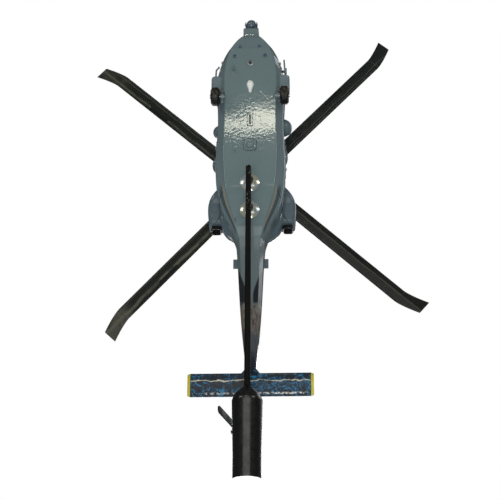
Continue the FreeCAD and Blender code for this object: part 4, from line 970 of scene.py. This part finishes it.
def rotor_fittings():
    swash = Shape()
    swash.turned([(4.4, 0), (6.6, 0), (7.0, 0.4), (7.0, 1.3), (6.6, 1.7), (4.4, 1.7)], (0, 0, -12.6), UP,
                 40)
    swash.turned([(4.4, 0), (5.8, 0), (5.8, 0.9), (4.4, 0.9)], (0, 0, -10.8), UP, 40)
    swash.make("swash_plate", "steel", "main_rotor")
    links, horns, bolts, bands, dampers, strips = (Shape() for _ in range(6))
    for i in range(1, 5):
        lean = Matrix.Rotation(math.radians(90.0 * i + BLADE_TURN), 3, "Z")
        lean = lean @ Matrix.Rotation(math.radians(BLADE_CONE), 3, "Y")

        def arm(x, y, z):
            return lean @ Vector((x, y, z))

        horns.slab([(0, 0), (4.4, 0), (3.4, 4.6), (1.0, 4.6)], arm(15.6, 2.4, -2.0), arm(1, 0, 0),
                   arm(0, 1, 0), 1.2, 0.2)
        links.pipe([arm(17.8, 6.0, -1.6), arm(12.0, 5.4, -6.0), arm(6.4, 1.6, -11.6)], 0.5)
        links.turned([(0.95, -0.8), (0.95, 0.8)], arm(17.8, 6.0, -1.4), arm(0, 0, 1), 16)
        dampers.pipe([arm(5.4, -4.6, 1.6), arm(16.5, -6.4, 1.4)], 1.05, 18)
        dampers.pipe([arm(14.5, -6.1, 1.4), arm(19.0, -5.2, 1.2)], 0.5, 12)
        for along in (24.2, 29.4):
            bolts.stud(arm(along, -1.0, 2.45), arm(0, 0, 1), 0.85, 0.7, 14)
            bolts.stud(arm(along, -1.0, -2.45), arm(0, 0, -1), 0.85, 0.7, 14)
        blade = Skin("rotor_blade_%d" % i)
        for aim, height in ((1, -14.0), (-1, 14.0)):
            line = [blade.at(arm(s, -6.6, height), arm(0, 0, aim)) for s in range(112, 138, 3)]
            strips.bead([p for p in line if p], 3.2, 0.1)
            lead = [blade.at(arm(s, 2.6, height), arm(0, 0, aim)) for s in range(42, 180, 4)]
            bands.bead([p for p in lead if p], 1.1, 0.05)
            for s in (60.0, 181.5):
                seam = [blade.at(arm(s, 3.4 - 1.05 * k, height), arm(0, 0, aim)) for k in range(12)]
                bands.bead([p for p in seam if p], 0.5, 0.06)
    horns.make("pitch_horns", "hub_black", "main_rotor")
    links.make("pitch_links", "steel", "main_rotor")
    dampers.make("lag_dampers", "hub_black", "main_rotor")
    bolts.make("blade_root_bolts", "steel", "main_rotor")
    bands.make("blade_edge_strips", "hub_black", "main_rotor", "blade_black")
    strips.make("blade_trim_tabs", "blade_black", "main_rotor")
    cap = Shape()
    for c, s in around(8):
        cap.stud((5.0 * c, 5.0 * s, 4.1), UP, 0.42, 0.3)
    cap.make("rotor_cap_bolts", "steel", "main_rotor")
    beams = Shape()
    for x, y in ((10.0, 0.0), (-10.0, 0.0), (0.0, 9.0)):
        beams.pipe([(x, y, -16.6), (x * 0.72, y * 0.72, -13.2), (x * 0.62, y * 0.62, -12.0)], 0.7)
        beams.turned([(1.5, 0), (1.5, 0.5), (1.0, 0.8), (0.5, 0.8)], (x, y, -16.4), UP, 18)
    beams.make("control_rods", "hub_black")


def support_fittings():
    collars = Shape()
    for x in (-43.5, -70.5):
        collars.turned([(3.15, 0.0), (3.45, 0.2), (3.45, 0.7), (3.15, 0.9)], (x, 0, -84.2), DOWN, 36)
        collars.turned([(1.6, 0.0), (1.6, 1.1), (1.9, 1.3), (1.9, 2.3), (1.6, 2.5)], (x, 0, -95.6), DOWN,
                       28)
    collars.make("prong_collars", "hub_black", slot="steel")


belly_fittings()
wheel_fittings()
turret_fittings()
cabin_fittings()
cowling_fittings()
exhaust_fittings()
tail_fittings()
tail_rotor_fittings()
rotor_fittings()
support_fittings()


# ---------------- studio

def lamp(name, spot, aim_at, width, height, radiance, color):
    """A soft box of this radiance; it isn't seen itself."""
    light = bpy.data.lights.new(name, "AREA")
    light.shape, light.size, light.size_y = "RECTANGLE", width, height
    light.energy = radiance * width * height * math.pi
    light.color = color
    holder = place(name, light)
    holder.location = spot
    holder.rotation_euler = (Vector(aim_at) - Vector(spot)).to_track_quat("-Z", "Y").to_euler()
    holder.visible_camera = False


def glow(name, corners, radiance, color):
    """A flat glowing panel of any outline, seen only in reflections."""
    mesh = bpy.data.meshes.new(name)
    mesh.from_pydata(corners, [], [tuple(range(len(corners)))])
    panel = place(name, mesh)
    material = bpy.data.materials.new(name)
    tree = clean_tree(material)
    shine = add_node(tree, "Emission", {"Color": (*color, 1.0), "Strength": radiance})
    add_node(tree, "OutputMaterial", {"Surface": shine.outputs[0]})
    mesh.materials.append(material)
    panel.visible_camera = False
    panel.visible_shadow = False


def studio():
    scene = bpy.context.scene
    scene.view_settings.view_transform = "Standard"
    scene.world = bpy.data.worlds.new("studio")
    tree = clean_tree(scene.world)
    rays = add_node(tree, "LightPath").outputs
    dim = add_node(tree, "MapRange", {"Value": rays["Is Glossy Ray"], "To Min": 0.22, "To Max": 0.05})
    strength = add_node(tree, "MapRange", {"Value": rays["Is Camera Ray"], "To Min": dim.outputs[0]})
    sky = add_node(tree, "Background", {"Color": (1.0,) * 4, "Strength": strength.outputs[0]})
    add_node(tree, "OutputWorld", {"Surface": sky.outputs[0]})

    mesh = bpy.data.meshes.new("floor")
    corners = [(FLOOR_HALF * x, FLOOR_HALF * y, FLOOR_Z)
               for x, y in ((-1, -1), (1, -1), (1, 1), (-1, 1))]
    mesh.from_pydata(corners, [], [(0, 1, 2, 3)])
    floor = place("floor", mesh)
    paper = Finish("paper", Specular_IOR_Level=0.1, Roughness=0.9)
    paper.color(paper.mix(paper.noise(60, 3), screen(232, 231, 228), screen(240, 239, 236)))
    paper.relief(paper.noise(3, 3), 0.05)
    mesh.materials.append(paper.material)
    floor.visible_glossy = False
    floor.visible_diffuse = False

    middle = (0.3, 0.0, 0.03)
    lamp("belly_fill", (0.28, -0.03, -0.96), (0.28, -0.03, 0.0), 0.2, 1.0, 1.5, (1.0, 0.99, 0.94))
    lamp("belly_sheen", (0.90, 0.0, -0.98), (0.62, 0.0, 0.0), 0.75, 0.9, 0.4, (0.97, 1.0, 0.97))
    lamp("rear_fill", (-0.55, 0.0, -0.9), middle, 0.6, 0.9, 4.0, (1.0, 1.0, 0.98))
    outline = ((0.908, -0.14), (0.908, 0.04), (0.959, 0.04), (0.959, -0.045), (0.936, -0.065),
               (0.930, -0.14))
    glow("belly_glint", [(x, y, GLINT_Z) for x, y in outline], 19.0, (1.0, 0.97, 0.80))
    for sign in (1, -1):
        lamp("side_box_%d" % sign, (0.92, 1.0 * sign, -0.79), middle, 0.3, 0.3, 7.0, (1.0, 0.98, 0.94))
    lamp("top_key", (-0.5, -1.0, 1.5), middle, 1.2, 1.2, 2.6, (1.0, 0.99, 0.97))
    lamp("top_fill", (1.2, 1.1, 1.2), middle, 1.2, 1.2, 1.5, (0.95, 0.98, 1.0))
    sun = bpy.data.lights.new("floor_light", "SUN")
    sun.energy, sun.angle = 2.2, math.radians(40.0)
    place("floor_light", sun)

    lens = bpy.data.cameras.new("photo_camera")
    camera = place("photo_camera", lens)
    view = Vector((0.42049, -0.04543, 0.90616)).normalized()
    right = view.cross(Vector((0.90729, 0.01631, -0.42020))).normalized()
    camera.matrix_world = Matrix((right, right.cross(view), -view)).transposed().to_4x4()
    camera.location = (-0.2081, 0.04514, -0.8680)
    lens.sensor_width = 36.0
    lens.lens = 81.94
    lens.clip_start = 0.01
    scene.camera = camera


studio()
